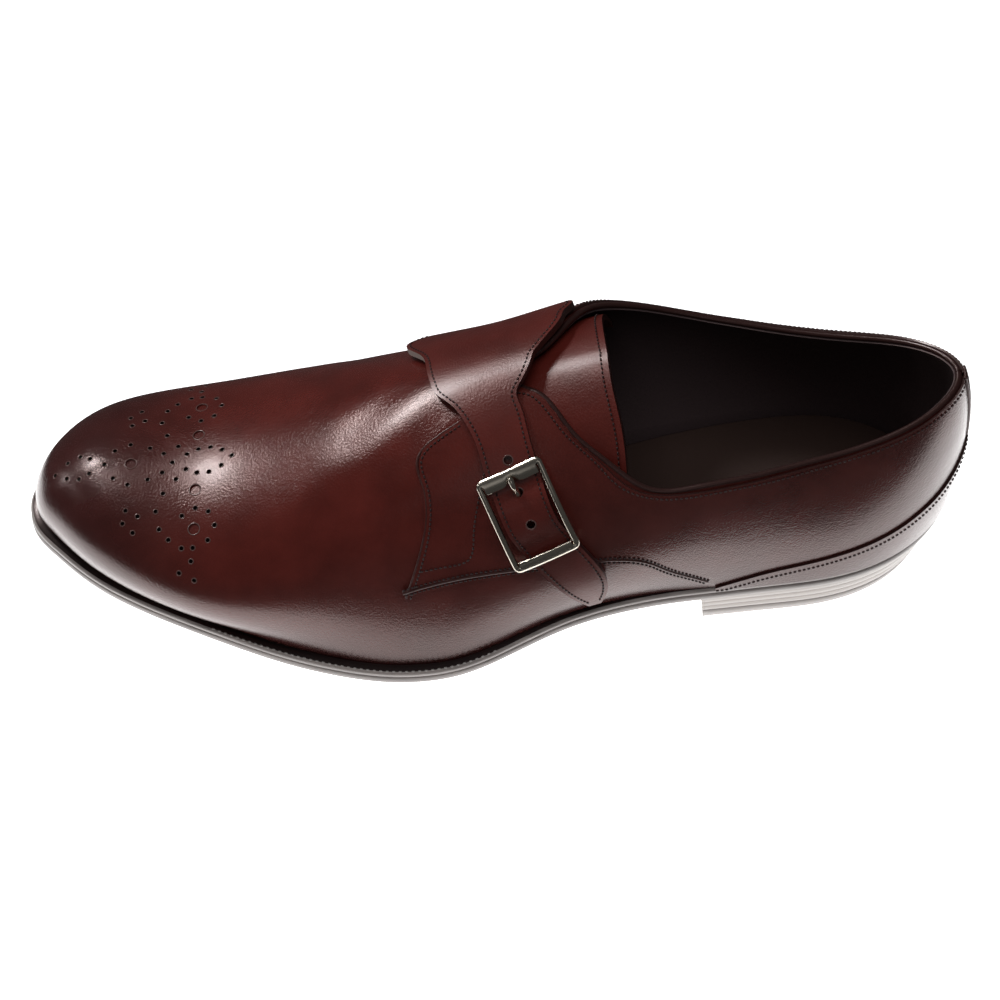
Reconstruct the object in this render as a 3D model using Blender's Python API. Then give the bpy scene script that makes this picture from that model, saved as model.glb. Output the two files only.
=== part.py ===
"""Single monk strap shoe, left foot: the construction as separate solids.

Metres, +Z up. The toe points along -X, the heel along +X, and the outer
(lateral) side of the foot is on -Y. The origin lies under the middle of the
shoe's own box, on the floor.

The upper's skin is one function: a profile line climbs from the feather line,
where the upper meets the welt, to the ridge over the foot. A place on it is
given by its station, the distance from the back of the heel, and its girth,
which runs from -1 at the lateral feather line over 0 at the ridge to +1 at
the medial feather line. Every piece of leather is a patch of that skin.
"""

import functools
import math

import bmesh
import bpy
import numpy as np
from mathutils import Matrix, Vector

# Driving sizes of the last and the sole
LENGTH = 0.305
BALL_WIDTH = 0.1042
INSTEP_HEIGHT = 0.100
HEEL_RISE = 0.0185
SEAT_PITCH = 0.0025
TOE_SPRING = 0.0115
OUTSOLE_THICK = 0.0039
WELT_THICK = 0.0018
WELT_MARGIN = 0.0038
WAIST_MARGIN = 0.0018
SEAT_MARGIN = 0.0010
SOLE_EDGE_ROUND = 0.0009
TOP_PIECE_THICK = 0.0060
HEEL_TAPER = 0.0042
COUNTER_OVERHANG = 0.0024

# Leather
WALL = 0.0020
OVERLAY_THICK = 0.0011
STRAP_THICK = 0.0022
TONGUE_THICK = 0.0018
INSOLE_THICK = 0.0035
SKIN_SET = 0.0009
GAP = 0.0003
INSOLE_CLEAR = 0.0009

# Strap and buckle
STRAP_WIDTH = 0.0160
STRAP_HOLE = 0.0030
HOLE_PITCH = 0.0100
PRONG_SHARE = 0.72
BUCKLE_WIDTH = 0.0230
BUCKLE_LENGTH = 0.0310
BUCKLE_THICK = 0.0020
SIDE_BAR = 0.0017
TOP_BAR = 0.0048
BOTTOM_BAR = 0.0030
CENTRE_BAR = 0.0020
BAR_CLEAR = 0.0025
PRONG_THICK = 0.0014

# Places along the foot, as shares of the length from the back of the heel
BREAST = 0.275
WAIST_END = 0.616
BALL_END = 0.695
THROAT = 0.492

# Columns: place along the length, lateral and medial half widths of the sole
# as shares of the ball width
SOLE_OUTLINE = (
    (0.0065, 0.048, 0.048),
    (0.030, 0.158, 0.162),
    (0.072, 0.259, 0.259),
    (0.131, 0.324, 0.311),
    (0.197, 0.350, 0.307),
    (0.275, 0.373, 0.274),
    (0.354, 0.397, 0.233),
    (0.420, 0.434, 0.220),
    (0.479, 0.497, 0.264),
    (0.531, 0.545, 0.348),
    (0.590, 0.555, 0.418),
    (0.646, 0.537, 0.444),
    (0.718, 0.482, 0.435),
    (0.797, 0.398, 0.393),
    (0.869, 0.315, 0.343),
    (0.928, 0.226, 0.286),
    (0.970, 0.128, 0.204),
    (0.992, 0.058, 0.125),
)
TOE_TIP_SHIFT = 0.038

# Columns: place along the length, ridge height as a share of the instep
# height, ridge shift to the medial side, lateral fullness, medial fullness,
# lateral swell, medial swell. Shift and swells are shares of the ball width.
SECTIONS = (
    (0.000, 1.130, 0.000, 0.11, 0.11, 0.025, 0.025),
    (0.131, 0.999, 0.007, 0.02, -0.09, 0.002, 0.038),
    (0.279, 1.042, 0.053, 0.09, 0.09, 0.017, 0.140),
    (0.410, 0.901, 0.103, -0.11, 0.37, 0.036, 0.195),
    (0.525, 0.787, 0.069, -0.01, 0.20, -0.027, 0.108),
    (0.656, 0.638, 0.013, 0.20, 0.13, -0.019, 0.068),
    (0.803, 0.466, 0.001, 0.20, 0.16, 0.086, 0.105),
    (0.918, 0.448, 0.022, 0.27, 0.17, 0.060, 0.086),
    (1.000, 0.415, 0.039, 0.17, 0.17, 0.018, 0.018),
)
TOE_FAN = 0.20
HEEL_FAN = 0.15

# Columns: place along the length, girth of the topline on each side
LATERAL_TOPLINE = (
    (0.000, -0.500), (0.052, -0.475), (0.111, -0.480), (0.174, -0.530),
    (0.231, -0.585), (0.288, -0.600), (0.342, -0.545), (0.386, -0.400),
    (0.418, -0.280), (0.444, -0.150), (0.463, -0.100), (THROAT, 0.000),
)
MEDIAL_TOPLINE = (
    (0.000, 0.500), (0.052, 0.490), (0.111, 0.485), (0.174, 0.530),
    (0.231, 0.592), (0.298, 0.625), (0.348, 0.592), (0.380, 0.525),
    (0.405, 0.400), (0.424, 0.260), (0.440, 0.150), (THROAT, 0.000),
)

# Edges of the panels, as rows of (place along the length, girth)
LATERAL_FRONT = ((0.587, -0.742), (0.567, -0.542), (0.567, -0.342),
                 (0.559, -0.200), (0.528, -0.155))
LATERAL_FOOT = ((0.587, -0.742), (0.509, -0.695), (0.450, -0.708),
                (0.380, -0.758), (0.345, -0.810), (0.318, -0.885),
                (0.275, -0.970), (0.150, -0.970), (0.050, -0.970),
                (0.004, -0.970))
LATERAL_HEAD = ((0.528, -0.155), (0.492, -0.085), (0.463, -0.115),
                (0.444, -0.165), (0.418, -0.290), (0.386, -0.410),
                (0.342, -0.555), (0.288, -0.610), (0.231, -0.595),
                (0.174, -0.540), (0.111, -0.490), (0.052, -0.485),
                (0.004, -0.506))
MEDIAL_FRONT = ((0.577, 0.790), (0.561, 0.683), (0.548, 0.508),
                (0.548, 0.430))
MEDIAL_FOOT = ((0.577, 0.790), (0.509, 0.770), (0.450, 0.775),
               (0.380, 0.795), (0.330, 0.860), (0.275, 0.970),
               (0.150, 0.970), (0.050, 0.970),
               (0.004, 0.970))
MEDIAL_HEAD = ((0.548, 0.430), (0.520, 0.375), (0.480, 0.345),
               (0.440, 0.345), (0.415, 0.385), (0.400, 0.445),
               (0.380, 0.535), (0.348, 0.602), (0.298, 0.635),
               (0.231, 0.602), (0.174, 0.540), (0.111, 0.495),
               (0.052, 0.500), (0.004, 0.506))
TONGUE_HEAD = ((0.358, -0.600), (0.362, -0.500), (0.368, -0.350),
               (0.379, -0.167), (0.384, 0.100), (0.385, 0.360),
               (0.377, 0.550), (0.369, 0.640))
TONGUE_ROOT = ((0.540, -0.330), (0.545, -0.100), (0.545, 0.120),
               (0.540, 0.330))

# Columns: place along the length, height of the counter's edge as a share
# of the profile line
COUNTER_HEAD = ((0.000, 0.250), (0.010, 0.205), (0.026, 0.165),
                (0.046, 0.150), (0.082, 0.130), (0.131, 0.105),
                (0.174, 0.080), (0.216, 0.055))

# Columns: girth, place of the strap's middle along the length, its half
# width forward and back as multiples of the strap's width
STRAP = (
    (0.425, 0.481, 1.36, 1.36),
    (0.400, 0.486, 1.52, 1.52),
    (0.333, 0.496, 1.56, 1.56),
    (0.280, 0.495, 1.47, 1.47),
    (0.225, 0.493, 1.33, 1.33),
    (0.125, 0.497, 1.15, 1.15),
    (0.017, 0.501, 1.02, 1.02),
    (-0.050, 0.501, 0.89, 0.89),
    (-0.090, 0.499, 0.72, 0.72),
    (-0.120, 0.498, 0.60, 0.60),
    (-0.167, 0.492, 0.55, 0.54),
    (-0.250, 0.483, 0.50, 0.50),
    (-0.342, 0.475, 0.50, 0.50),
    (-0.450, 0.463, 0.50, 0.50),
    (-0.550, 0.449, 0.50, 0.50),
    (-0.650, 0.428, 0.50, 0.49),
    (-0.750, 0.408, 0.46, 0.46),
    (-0.840, 0.395, 0.33, 0.33),
    (-0.905, 0.390, 0.12, 0.12),
)
BUCKLE_GIRTH = -0.500

# Turn from the back seam to the end of each quarter, in radians
SEAM_TURN = 0.05

STATIONS = 40
WALL_ROWS = 12


def cubic_weights(knots, closed):
    """Second derivatives of the cubic spline through evenly free knots."""
    count = len(knots) - 1 if closed else len(knots)
    steps = np.diff(knots)

    def solve(values):
        matrix = np.zeros((count, count))
        right = np.zeros((count,) + values.shape[1:])
        for i in range(count):
            if not closed and i in (0, count - 1):
                matrix[i, i] = 1.0
                continue
            before, after = steps[i - 1], steps[i]
            matrix[i, (i - 1) % count] += before
            matrix[i, i] += 2.0 * (before + after)
            matrix[i, (i + 1) % count] += after
            rise = (values[(i + 1) % count] - values[i]) / after
            fall = (values[i] - values[i - 1]) / before
            right[i] = 6.0 * (rise - fall)
        return np.linalg.solve(matrix, right)

    return solve


def spline(knots, values, at, closed=False):
    """Smooth curve through values at the knots, read at other places."""
    knots = np.asarray(knots, float)
    values = np.asarray(values, float)
    bend = cubic_weights(knots, closed)(values)
    count = len(values)
    at = np.clip(np.asarray(at, float), knots[0], knots[-1])
    span = np.clip(np.searchsorted(knots, at, side="right") - 1, 0, len(knots) - 2)
    following = (span + 1) % count
    step = knots[span + 1] - knots[span]
    left, right = knots[span + 1] - at, at - knots[span]
    if values.ndim > 1:
        step, left, right = step[..., None], left[..., None], right[..., None]
    curve = (bend[span] * left ** 3 + bend[following] * right ** 3) / (6.0 * step)
    curve += (values[span] / step - bend[span] * step / 6.0) * left
    curve += (values[following] / step - bend[following] * step / 6.0) * right
    return curve


def column(table, at, index):
    """One column of a table of sections, smooth along the length."""
    rows = np.array(table)
    return spline(rows[:, 0] * LENGTH, rows[:, index], at)


def outline_loop(samples=6000):
    """The sole's outline as a closed smooth loop of (station, side) points."""
    rows = [(1.0, TOE_TIP_SHIFT)]
    rows += [(place, -lateral) for place, lateral, _ in reversed(SOLE_OUTLINE)]
    rows += [(place, medial) for place, _, medial in SOLE_OUTLINE]
    points = np.array(rows) * (LENGTH, BALL_WIDTH)
    chords = np.linalg.norm(np.roll(points, -1, 0) - points, axis=1) ** 0.5
    knots = np.concatenate([[0.0], np.cumsum(chords)])
    at = np.linspace(0.0, knots[-1], samples, endpoint=False)
    return spline(knots, points, at, closed=True)


def welt_margin(station):
    """How far the sole stands out beyond the upper's feather line."""
    waist = np.clip((0.574 * LENGTH - station) / (0.246 * LENGTH), 0.0, 1.0)
    seat = np.clip((0.328 * LENGTH - station) / (0.098 * LENGTH), 0.0, 1.0)
    margin = WELT_MARGIN + (WAIST_MARGIN - WELT_MARGIN) * waist
    return margin + (SEAT_MARGIN - WAIST_MARGIN) * seat


def sole_height(station):
    """Height of the outsole's underside: toe spring, flat ball, arch, seat."""
    front = np.clip((station - BALL_END * LENGTH) / ((1.0 - BALL_END) * LENGTH), 0.0, None)
    arch = np.clip((WAIST_END * LENGTH - station) / ((WAIST_END - BREAST) * LENGTH), 0.0, 1.0)
    seat = np.clip(1.0 - station / (BREAST * LENGTH), 0.0, 1.0)
    return TOE_SPRING * front ** 1.8 + HEEL_RISE * arch ** 2 * (3.0 - 2.0 * arch) + SEAT_PITCH * seat


LOOP = outline_loop()
HEEL_END = LOOP[:, 0].min()
TOE_END = LOOP[:, 0].max()
MIDDLE = 0.5 * (TOE_END + HEEL_END - COUNTER_OVERHANG)
SIDE_MIDDLE = 0.5 * (LOOP[:, 1].max() + LOOP[:, 1].min())


def angle_table():
    """The outline and its inward direction by angle: 0 heel, pi toe tip."""
    tangent = np.roll(LOOP, -1, 0) - np.roll(LOOP, 1, 0)
    inward = np.stack([tangent[:, 1], -tangent[:, 0]], 1)
    inward /= np.linalg.norm(inward, axis=1)[:, None]
    middle = np.array([0.5 * LENGTH, 0.0])
    if np.mean(np.sum(inward * (middle - LOOP), 1)) < 0.0:
        inward = -inward
    ratio = np.clip((LOOP[:, 0] - HEEL_END) / (TOE_END - HEEL_END), 0.0, 1.0)
    angle = np.arccos(1.0 - 2.0 * ratio)
    toe, heel = int(np.argmax(LOOP[:, 0])), int(np.argmin(LOOP[:, 0]))
    rolled = (np.arange(len(LOOP)) - toe) % len(LOOP)
    medial = rolled > (heel - toe) % len(LOOP)
    angle = np.where(medial, 2.0 * math.pi - angle, angle)
    order = np.argsort(angle)
    return angle[order], LOOP[order], inward[order]


ANGLES, EDGE, INWARD = angle_table()


def edge_point(angle, inset=0.0):
    """Plan point of the sole's edge at an angle, moved inward by the inset."""
    turn = np.mod(angle, 2.0 * math.pi)
    read = lambda values: np.interp(turn, ANGLES, values, period=2.0 * math.pi)
    point = np.stack([read(EDGE[:, 0]), read(EDGE[:, 1])], -1)
    inward = np.stack([read(INWARD[:, 0]), read(INWARD[:, 1])], -1)
    return point + inward * np.asarray(inset)[..., None]


def station_of(angle):
    return HEEL_END + (TOE_END - HEEL_END) * 0.5 * (1.0 - np.cos(angle))


def angle_of(station, girth):
    ratio = np.clip((station - HEEL_END) / (TOE_END - HEEL_END), 0.0, 1.0)
    angle = np.arccos(1.0 - 2.0 * ratio)
    return np.where(np.asarray(girth) > 0.0, 2.0 * math.pi - angle, angle)


def feather_height(station):
    return sole_height(station) + OUTSOLE_THICK + WELT_THICK + 2.0 * GAP


def bare_skin(angle, climb):
    """Point of the last's skin: climb is 0 at the feather line, 1 at the ridge."""
    angle, climb = np.broadcast_arrays(np.asarray(angle, float), np.asarray(climb, float))
    station = station_of(angle)
    medial = np.mod(angle, 2.0 * math.pi) > math.pi
    foot = edge_point(angle, welt_margin(station))
    reach = 2.0 * station / LENGTH - 1.0
    fan = np.where(reach > 0.0, TOE_FAN, HEEL_FAN)
    top = 0.5 * LENGTH * (1.0 + reach * (1.0 - fan * np.abs(reach) ** 4))
    ridge = np.stack([top, column(SECTIONS, top, 2) * BALL_WIDTH], -1)
    full = np.where(medial, column(SECTIONS, station, 4), column(SECTIONS, station, 3))
    swell = np.where(medial, column(SECTIONS, station, 6), column(SECTIONS, station, 5))
    turn = climb * 0.5 * math.pi
    across = 1.0 - np.cos(turn)
    rise = np.sin(turn) * (1.0 + full * np.cos(turn) ** 2)
    span = ridge - foot
    away = span / np.linalg.norm(span, axis=-1)[..., None]
    bulge = swell * BALL_WIDTH * 6.75 * climb * (1.0 - climb) ** 2
    plan = foot + span * across[..., None] - away * bulge[..., None]
    low = feather_height(station)
    high = column(SECTIONS, plan[..., 0], 1) * INSTEP_HEIGHT
    height = low + (high - low) * rise
    return np.stack([MIDDLE - plan[..., 0], plan[..., 1] - SIDE_MIDDLE, height], -1)


def skin(angle, climb, lift=0.0):
    """Skin point lifted along the outward normal."""
    angle, climb = np.broadcast_arrays(np.asarray(angle, float), np.asarray(climb, float))
    step = 0.002
    middle = np.clip(climb, step, 0.985)
    along = bare_skin(angle + step, middle) - bare_skin(angle - step, middle)
    up = bare_skin(angle, middle + step) - bare_skin(angle, middle - step)
    normal = np.cross(up, along)
    normal /= np.linalg.norm(normal, axis=-1)[..., None]
    return bare_skin(angle, climb) + normal * np.asarray(lift)[..., None]


def on_skin(station, girth, lift=0.0):
    return skin(angle_of(station, girth), 1.0 - np.abs(girth), lift)


def sole_plan(point):
    """World x and y of a plan point given as (station, side)."""
    return np.stack([MIDDLE - point[..., 0], point[..., 1] - SIDE_MIDDLE], -1)


def material(name, colour, roughness, metallic=0.0):
    made = bpy.data.materials.new(name)
    made.use_nodes = True
    shader = made.node_tree.nodes["Principled BSDF"]
    shader.inputs["Base Color"].default_value = (*colour, 1.0)
    shader.inputs["Roughness"].default_value = roughness
    shader.inputs["Metallic"].default_value = metallic
    made.diffuse_color = (*colour, 1.0)
    return made


def add_object(name, mesh_data, paint, smooth=40.0):
    """Object from a bmesh, with its faces turned outward."""
    bmesh.ops.recalc_face_normals(mesh_data, faces=mesh_data.faces)
    mesh = bpy.data.meshes.new(name)
    mesh_data.to_mesh(mesh)
    mesh_data.free()
    mesh.shade_smooth()
    mesh.set_sharp_from_angle(angle=math.radians(smooth))
    mesh.materials.append(paint)
    made = bpy.data.objects.new(name, mesh)
    bpy.context.scene.collection.objects.link(made)
    return made


def slab(outer, inner):
    """Closed solid between two grids of points with the same rows and columns."""
    data = bmesh.new()
    rows, columns = outer.shape[:2]
    layers = []
    for grid in (outer, inner):
        layers.append([[data.verts.new(grid[i, j]) for j in range(columns)] for i in range(rows)])
    for layer in layers:
        for i in range(rows - 1):
            for j in range(columns - 1):
                data.faces.new((layer[i][j], layer[i + 1][j], layer[i + 1][j + 1], layer[i][j + 1]))
    border = [(i, 0) for i in range(rows)]
    border += [(rows - 1, j) for j in range(1, columns)]
    border += [(i, columns - 1) for i in range(rows - 2, -1, -1)]
    border += [(0, j) for j in range(columns - 2, 0, -1)]
    for k, (i, j) in enumerate(border):
        p, q = border[(k + 1) % len(border)]
        data.faces.new((layers[0][i][j], layers[0][p][q], layers[1][p][q], layers[1][i][j]))
    return data


def plate(rings):
    """Closed solid from rings stacked bottom to top, closed by cross strips.

    A ring starts at the back of the heel and runs round the foot. Points that
    face each other across the foot have the same distance from its start.
    """
    data = bmesh.new()
    count = len(rings[0])
    loops = [[data.verts.new(point) for point in ring] for ring in rings]
    for lower, upper in zip(loops, loops[1:]):
        for j in range(count):
            k = (j + 1) % count
            data.faces.new((lower[j], lower[k], upper[k], upper[j]))
    for loop in (loops[0], loops[-1]):
        for j in range((count - 1) // 2 + 1):
            corners = [loop[j], loop[j + 1], loop[(count - j - 1) % count], loop[-j % count]]
            unique = list(dict.fromkeys(corners))
            if len(unique) > 2:
                data.faces.new(unique)
    return data


def sole_ring(angles, inset, height):
    """Ring of the sole's edge with its own height at each station."""
    plan = edge_point(angles, inset)
    rise = height(station_of(angles))
    return np.concatenate([sole_plan(plan), rise[:, None]], 1)


def full_turn():
    return np.arange(2 * STATIONS) * math.pi / STATIONS


def make_outsole(paint):
    angles = full_turn()
    cut = SOLE_EDGE_ROUND
    top = lambda s: sole_height(s) + OUTSOLE_THICK
    rings = [
        sole_ring(angles, cut, sole_height),
        sole_ring(angles, 0.0, lambda s: sole_height(s) + cut),
        sole_ring(angles, 0.0, lambda s: top(s) - 0.5 * cut),
        sole_ring(angles, 0.5 * cut, top),
    ]
    return add_object("outsole", plate(rings), paint)


def make_welt(paint):
    """Band between outsole and upper, which the seat carries on as its rand."""
    angles = full_turn()
    station = station_of(angles)
    inner = welt_margin(station) + WALL + SKIN_SET
    base = sole_height(station) + OUTSOLE_THICK + GAP
    cut = 0.35 * WELT_THICK
    rows = ((inner, 0.0), (inner, WELT_THICK), (cut, WELT_THICK),
            (0.4 * cut, WELT_THICK - cut), (0.4 * cut, 0.0))
    data = bmesh.new()
    loops = []
    for inset, rise in rows:
        plan = sole_plan(edge_point(angles, inset * np.ones(len(angles))))
        loops.append([data.verts.new((x, y, z)) for (x, y), z in zip(plan, base + rise)])
    count = len(angles)
    for k, loop in enumerate(loops):
        following = loops[(k + 1) % len(loops)]
        for j in range(count):
            i = (j + 1) % count
            data.faces.new((loop[j], loop[i], following[i], following[j]))
    return add_object("welt", data, paint)


def heel_angles():
    limit = float(angle_of(BREAST * LENGTH, -1.0))
    half = np.linspace(0.0, limit, 15)
    return np.concatenate([half, 2.0 * math.pi - half[:0:-1]])


def heel_ring(angles, share, rise):
    """Ring of the heel block, share 0 at the sole and 1 at the floor."""
    plan = sole_plan(edge_point(angles, HEEL_TAPER * share + SOLE_EDGE_ROUND))
    station = station_of(angles)
    plan[:, 0] = np.maximum(plan[:, 0], MIDDLE - BREAST * LENGTH + 0.5 * HEEL_TAPER * share)
    return np.concatenate([plan, rise(station)[:, None]], 1)


def make_heel(paint_stack, paint_top):
    angles = heel_angles()
    rest = lambda s: sole_height(s) - GAP
    split = TOP_PIECE_THICK / HEEL_RISE
    stack = [
        heel_ring(angles, 1.0 - split, lambda s: 0.0 * s + TOP_PIECE_THICK + GAP),
        heel_ring(angles, 0.5 * (1.0 - split), lambda s: 0.5 * (rest(s) + TOP_PIECE_THICK)),
        heel_ring(angles, 0.0, rest),
    ]
    made = [add_object("heel_stack", plate(stack), paint_stack)]
    top = [
        heel_ring(angles, 1.0, lambda s: 0.0 * s),
        heel_ring(angles, 1.0 - split, lambda s: 0.0 * s + TOP_PIECE_THICK),
    ]
    made.append(add_object("heel_top_piece", plate(top), paint_top))
    return made


def make_insole(paint):
    angles = full_turn()
    station = station_of(angles)
    inset = welt_margin(station) + WALL + SKIN_SET + INSOLE_CLEAR
    low = lambda s: sole_height(s) + OUTSOLE_THICK + 1.5 * GAP
    high = lambda s: low(s) + INSOLE_THICK
    rings = [sole_ring(angles, inset, low), sole_ring(angles, inset, high)]
    return add_object("insole", plate(rings), paint)


def topline_climb(angles):
    """How far each profile line of the wall climbs: to the topline or ridge."""
    station = station_of(angles)
    lateral = np.array(LATERAL_TOPLINE)
    medial = np.array(MEDIAL_TOPLINE)
    girth = np.where(
        angles <= math.pi,
        -spline(lateral[:, 0] * LENGTH, lateral[:, 1], station),
        spline(medial[:, 0] * LENGTH, medial[:, 1], station),
    )
    return np.where(station < THROAT * LENGTH, 1.0 - girth, 1.0)


def wall_angles():
    """Profile lines of the upper, with one exactly at the throat."""
    throat = float(angle_of(THROAT * LENGTH, -1.0))
    behind = int(round(STATIONS * throat / math.pi))
    back = np.linspace(0.0, throat, behind + 1)
    front = np.linspace(throat, math.pi, STATIONS - behind + 1)[1:]
    half = np.concatenate([back, front])
    return half, behind


def make_upper(paint):
    """Hollow wall from the feather line to the topline, open underneath."""
    half, behind = wall_angles()
    angles = np.concatenate([half, 2.0 * math.pi - half[-2:0:-1]])
    count = len(angles)
    share = np.linspace(0.0, 1.0, WALL_ROWS + 1) ** 0.9
    climb = topline_climb(angles)[:, None] * share[None, :]
    turn = np.repeat(angles[:, None], WALL_ROWS + 1, 1)
    layers = [skin(turn, climb, -SKIN_SET + 0.0 * turn), skin(turn, climb, -SKIN_SET - WALL + 0.0 * turn)]
    station = station_of(angles)
    for layer, depth in zip(layers, (SKIN_SET, SKIN_SET + WALL)):
        foot = sole_plan(edge_point(angles, welt_margin(station) + depth))
        layer[:, 0, :2] = foot
        layer[:, 0, 2] = feather_height(station)
    data = bmesh.new()
    grids = []
    for layer in layers:
        grid = [[None] * (WALL_ROWS + 1) for _ in range(count)]
        for j in range(count):
            twin = (count - j) % count
            for k in range(WALL_ROWS + 1):
                at_ridge = k == WALL_ROWS and behind <= min(j, twin)
                if at_ridge and grid[twin][k] is not None:
                    grid[j][k] = grid[twin][k]
                elif at_ridge:
                    grid[j][k] = data.verts.new(0.5 * (layer[j, k] + layer[twin, k]))
                else:
                    grid[j][k] = data.verts.new(layer[j, k])
        grids.append(grid)
    for grid in grids:
        for j in range(count):
            i = (j + 1) % count
            for k in range(WALL_ROWS):
                corners = (grid[j][k], grid[i][k], grid[i][k + 1], grid[j][k + 1])
                data.faces.new(list(dict.fromkeys(corners)))
    outer, inner = grids
    for j in range(count):
        i = (j + 1) % count
        data.faces.new((outer[j][0], outer[i][0], inner[i][0], inner[j][0]))
        if min(j, count - j) < behind or min(i, (count - i) % count) < behind:
            data.faces.new((outer[j][-1], outer[i][-1], inner[i][-1], inner[j][-1]))
    return add_object("upper", data, paint)


def edge_curve(rows, count):
    """Points spread evenly along a smooth edge given as (place, girth) rows."""
    points = np.array(rows)
    chords = np.linalg.norm(np.diff(points, axis=0), axis=1)
    knots = np.concatenate([[0.0], np.cumsum(chords)])
    return spline(knots, points, np.linspace(0.0, knots[-1], count))


def four_sided(front, back, foot, head):
    """Grid of (place, girth) filled in between four edges that meet."""
    rows, columns = len(front), len(foot)
    across = np.linspace(0.0, 1.0, columns)[None, :, None]
    up = np.linspace(0.0, 1.0, rows)[:, None, None]
    sides = front[:, None] * (1.0 - across) + back[:, None] * across
    ends = foot[None] * (1.0 - up) + head[None] * up
    corners = (front[0] * (1.0 - across) + back[0] * across) * (1.0 - up)
    corners = corners + (front[-1] * (1.0 - across) + back[-1] * across) * up
    return sides + ends - corners


def leather_panel(name, turn, girth, low, high, paint):
    """Panel over the skin between two lifts, from grids of angle and girth."""
    climb = 1.0 - np.abs(girth)
    outer = skin(turn, climb, high + 0.0 * turn)
    inner = skin(turn, climb, low + 0.0 * turn)
    return add_object(name, slab(outer, inner), paint)


def panel_lift():
    """Lifts of the first layer of panels over the wall."""
    low = 2.0 * GAP - SKIN_SET
    return low, low + OVERLAY_THICK


def make_quarter(name, front, foot, head, paint):
    """Side panel of the upper, filled in between its four edges."""
    rows, columns = 9, 29
    edges = []
    for table, count in ((front, rows), (foot, columns), (head, columns)):
        turned = [(max(float(angle_of(place * LENGTH, -1.0)), SEAM_TURN), girth)
                  for place, girth in table]
        edges.append(edge_curve(turned, count))
    front_curve, foot_curve, head_curve = edges
    back_curve = np.linspace(foot_curve[-1], head_curve[-1], rows)
    grid = four_sided(front_curve, back_curve, foot_curve, head_curve)
    turn = np.where(grid[..., 1] > 0.0, 2.0 * math.pi - grid[..., 0], grid[..., 0])
    return leather_panel(name, turn, grid[..., 1], *panel_lift(), paint)


def outer_lift():
    """Lifts of what lies over the quarters."""
    low = panel_lift()[1] + GAP
    return low, low + OVERLAY_THICK


def make_counter(paint):
    """Stiff cup round the back of the heel, over both quarters."""
    head = np.array(COUNTER_HEAD)
    limit = float(angle_of(head[-1, 0] * LENGTH, -1.0))
    angles = np.linspace(-limit, limit, 35)
    edge = spline(head[:, 0] * LENGTH, head[:, 1], station_of(angles))
    share = np.linspace(0.0, 1.0, 5)[:, None]
    foot = 0.030
    climb = foot + (edge[None, :] - foot) * share
    turn = np.repeat(angles[None, :], 5, 0)
    low, high = outer_lift()
    data = slab(skin(turn, climb, high + 0.0 * turn), skin(turn, climb, low + 0.0 * turn))
    return add_object("counter", data, paint)


def make_backstay(paint):
    """Narrow strip down the back seam, from the topline to the counter."""
    angles = np.linspace(-0.085, 0.085, 5)
    foot = COUNTER_HEAD[0][1] + 0.012
    head = 1.0 + LATERAL_TOPLINE[0][1]
    climb = np.linspace(foot, head, 9)[:, None] + 0.0 * angles[None, :]
    narrow = np.linspace(1.0, 0.75, 9)[:, None]
    turn = angles[None, :] * narrow
    low, high = outer_lift()
    data = slab(skin(turn, climb, high + 0.0 * turn), skin(turn, climb, low + 0.0 * turn))
    return add_object("backstay", data, paint)


def make_tongue(paint):
    """Tongue under the wall, from the vamp to above the throat."""
    rows, columns = 11, 15
    head = edge_curve(TONGUE_HEAD, columns)
    root = edge_curve(TONGUE_ROOT, columns)
    share = np.linspace(0.0, 1.0, rows)[:, None, None]
    grid = root[None] * (1.0 - share) + head[None] * share
    high = -SKIN_SET - WALL - 5.0 * GAP
    turn = angle_of(grid[..., 0] * LENGTH, grid[..., 1])
    return leather_panel("tongue", turn, grid[..., 1], high - TONGUE_THICK, high, paint)


def strap_row(girth):
    """Middle of the strap and its half widths at a girth, in metres."""
    table = np.array(STRAP)[::-1]
    read = [spline(table[:, 0], table[:, k], girth) for k in (1, 2, 3)]
    return read[0] * LENGTH, read[1] * STRAP_WIDTH, read[2] * STRAP_WIDTH


def buckle_axes():
    """Directions along, across and out of the strap at the buckle's middle."""
    step = 0.05
    ends = [on_skin(strap_row(BUCKLE_GIRTH + way * step)[0], BUCKLE_GIRTH + way * step)
            for way in (-1.0, 1.0)]
    place = strap_row(BUCKLE_GIRTH)[0]
    out = on_skin(place, BUCKLE_GIRTH, 0.001) - on_skin(place, BUCKLE_GIRTH)
    out /= np.linalg.norm(out)
    along = ends[1] - ends[0]
    along -= out * (along @ out)
    along /= np.linalg.norm(along)
    return along, np.cross(out, along), out


@functools.cache
def skin_slopes():
    """Runs along and across the strap for one metre of station, one of girth."""
    along, across, _ = buckle_axes()
    place = strap_row(BUCKLE_GIRTH)[0]
    step = 0.02
    by_place = (on_skin(place + 0.1 * step, BUCKLE_GIRTH)
                - on_skin(place - 0.1 * step, BUCKLE_GIRTH)) / (0.2 * step)
    by_girth = (on_skin(place, BUCKLE_GIRTH + step)
                - on_skin(place, BUCKLE_GIRTH - step)) / (2.0 * step)
    return np.array([[by_place @ along, by_girth @ along],
                     [by_place @ across, by_girth @ across]])


def buckle_run(station, girth):
    """Distance along the strap from the buckle's middle, toward the ridge."""
    place = strap_row(BUCKLE_GIRTH)[0]
    slopes = skin_slopes()
    return slopes[0, 0] * (station - place) + slopes[0, 1] * (girth - BUCKLE_GIRTH)


def strap_rest():
    """Lift of the strap's underside where it lies on the quarter."""
    return panel_lift()[1] + 1.8 * GAP


def bar_lift():
    """Lift of the middle of the buckle's centre bar over the quarter."""
    return strap_rest() + BAR_CLEAR + 0.5 * CENTRE_BAR


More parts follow.
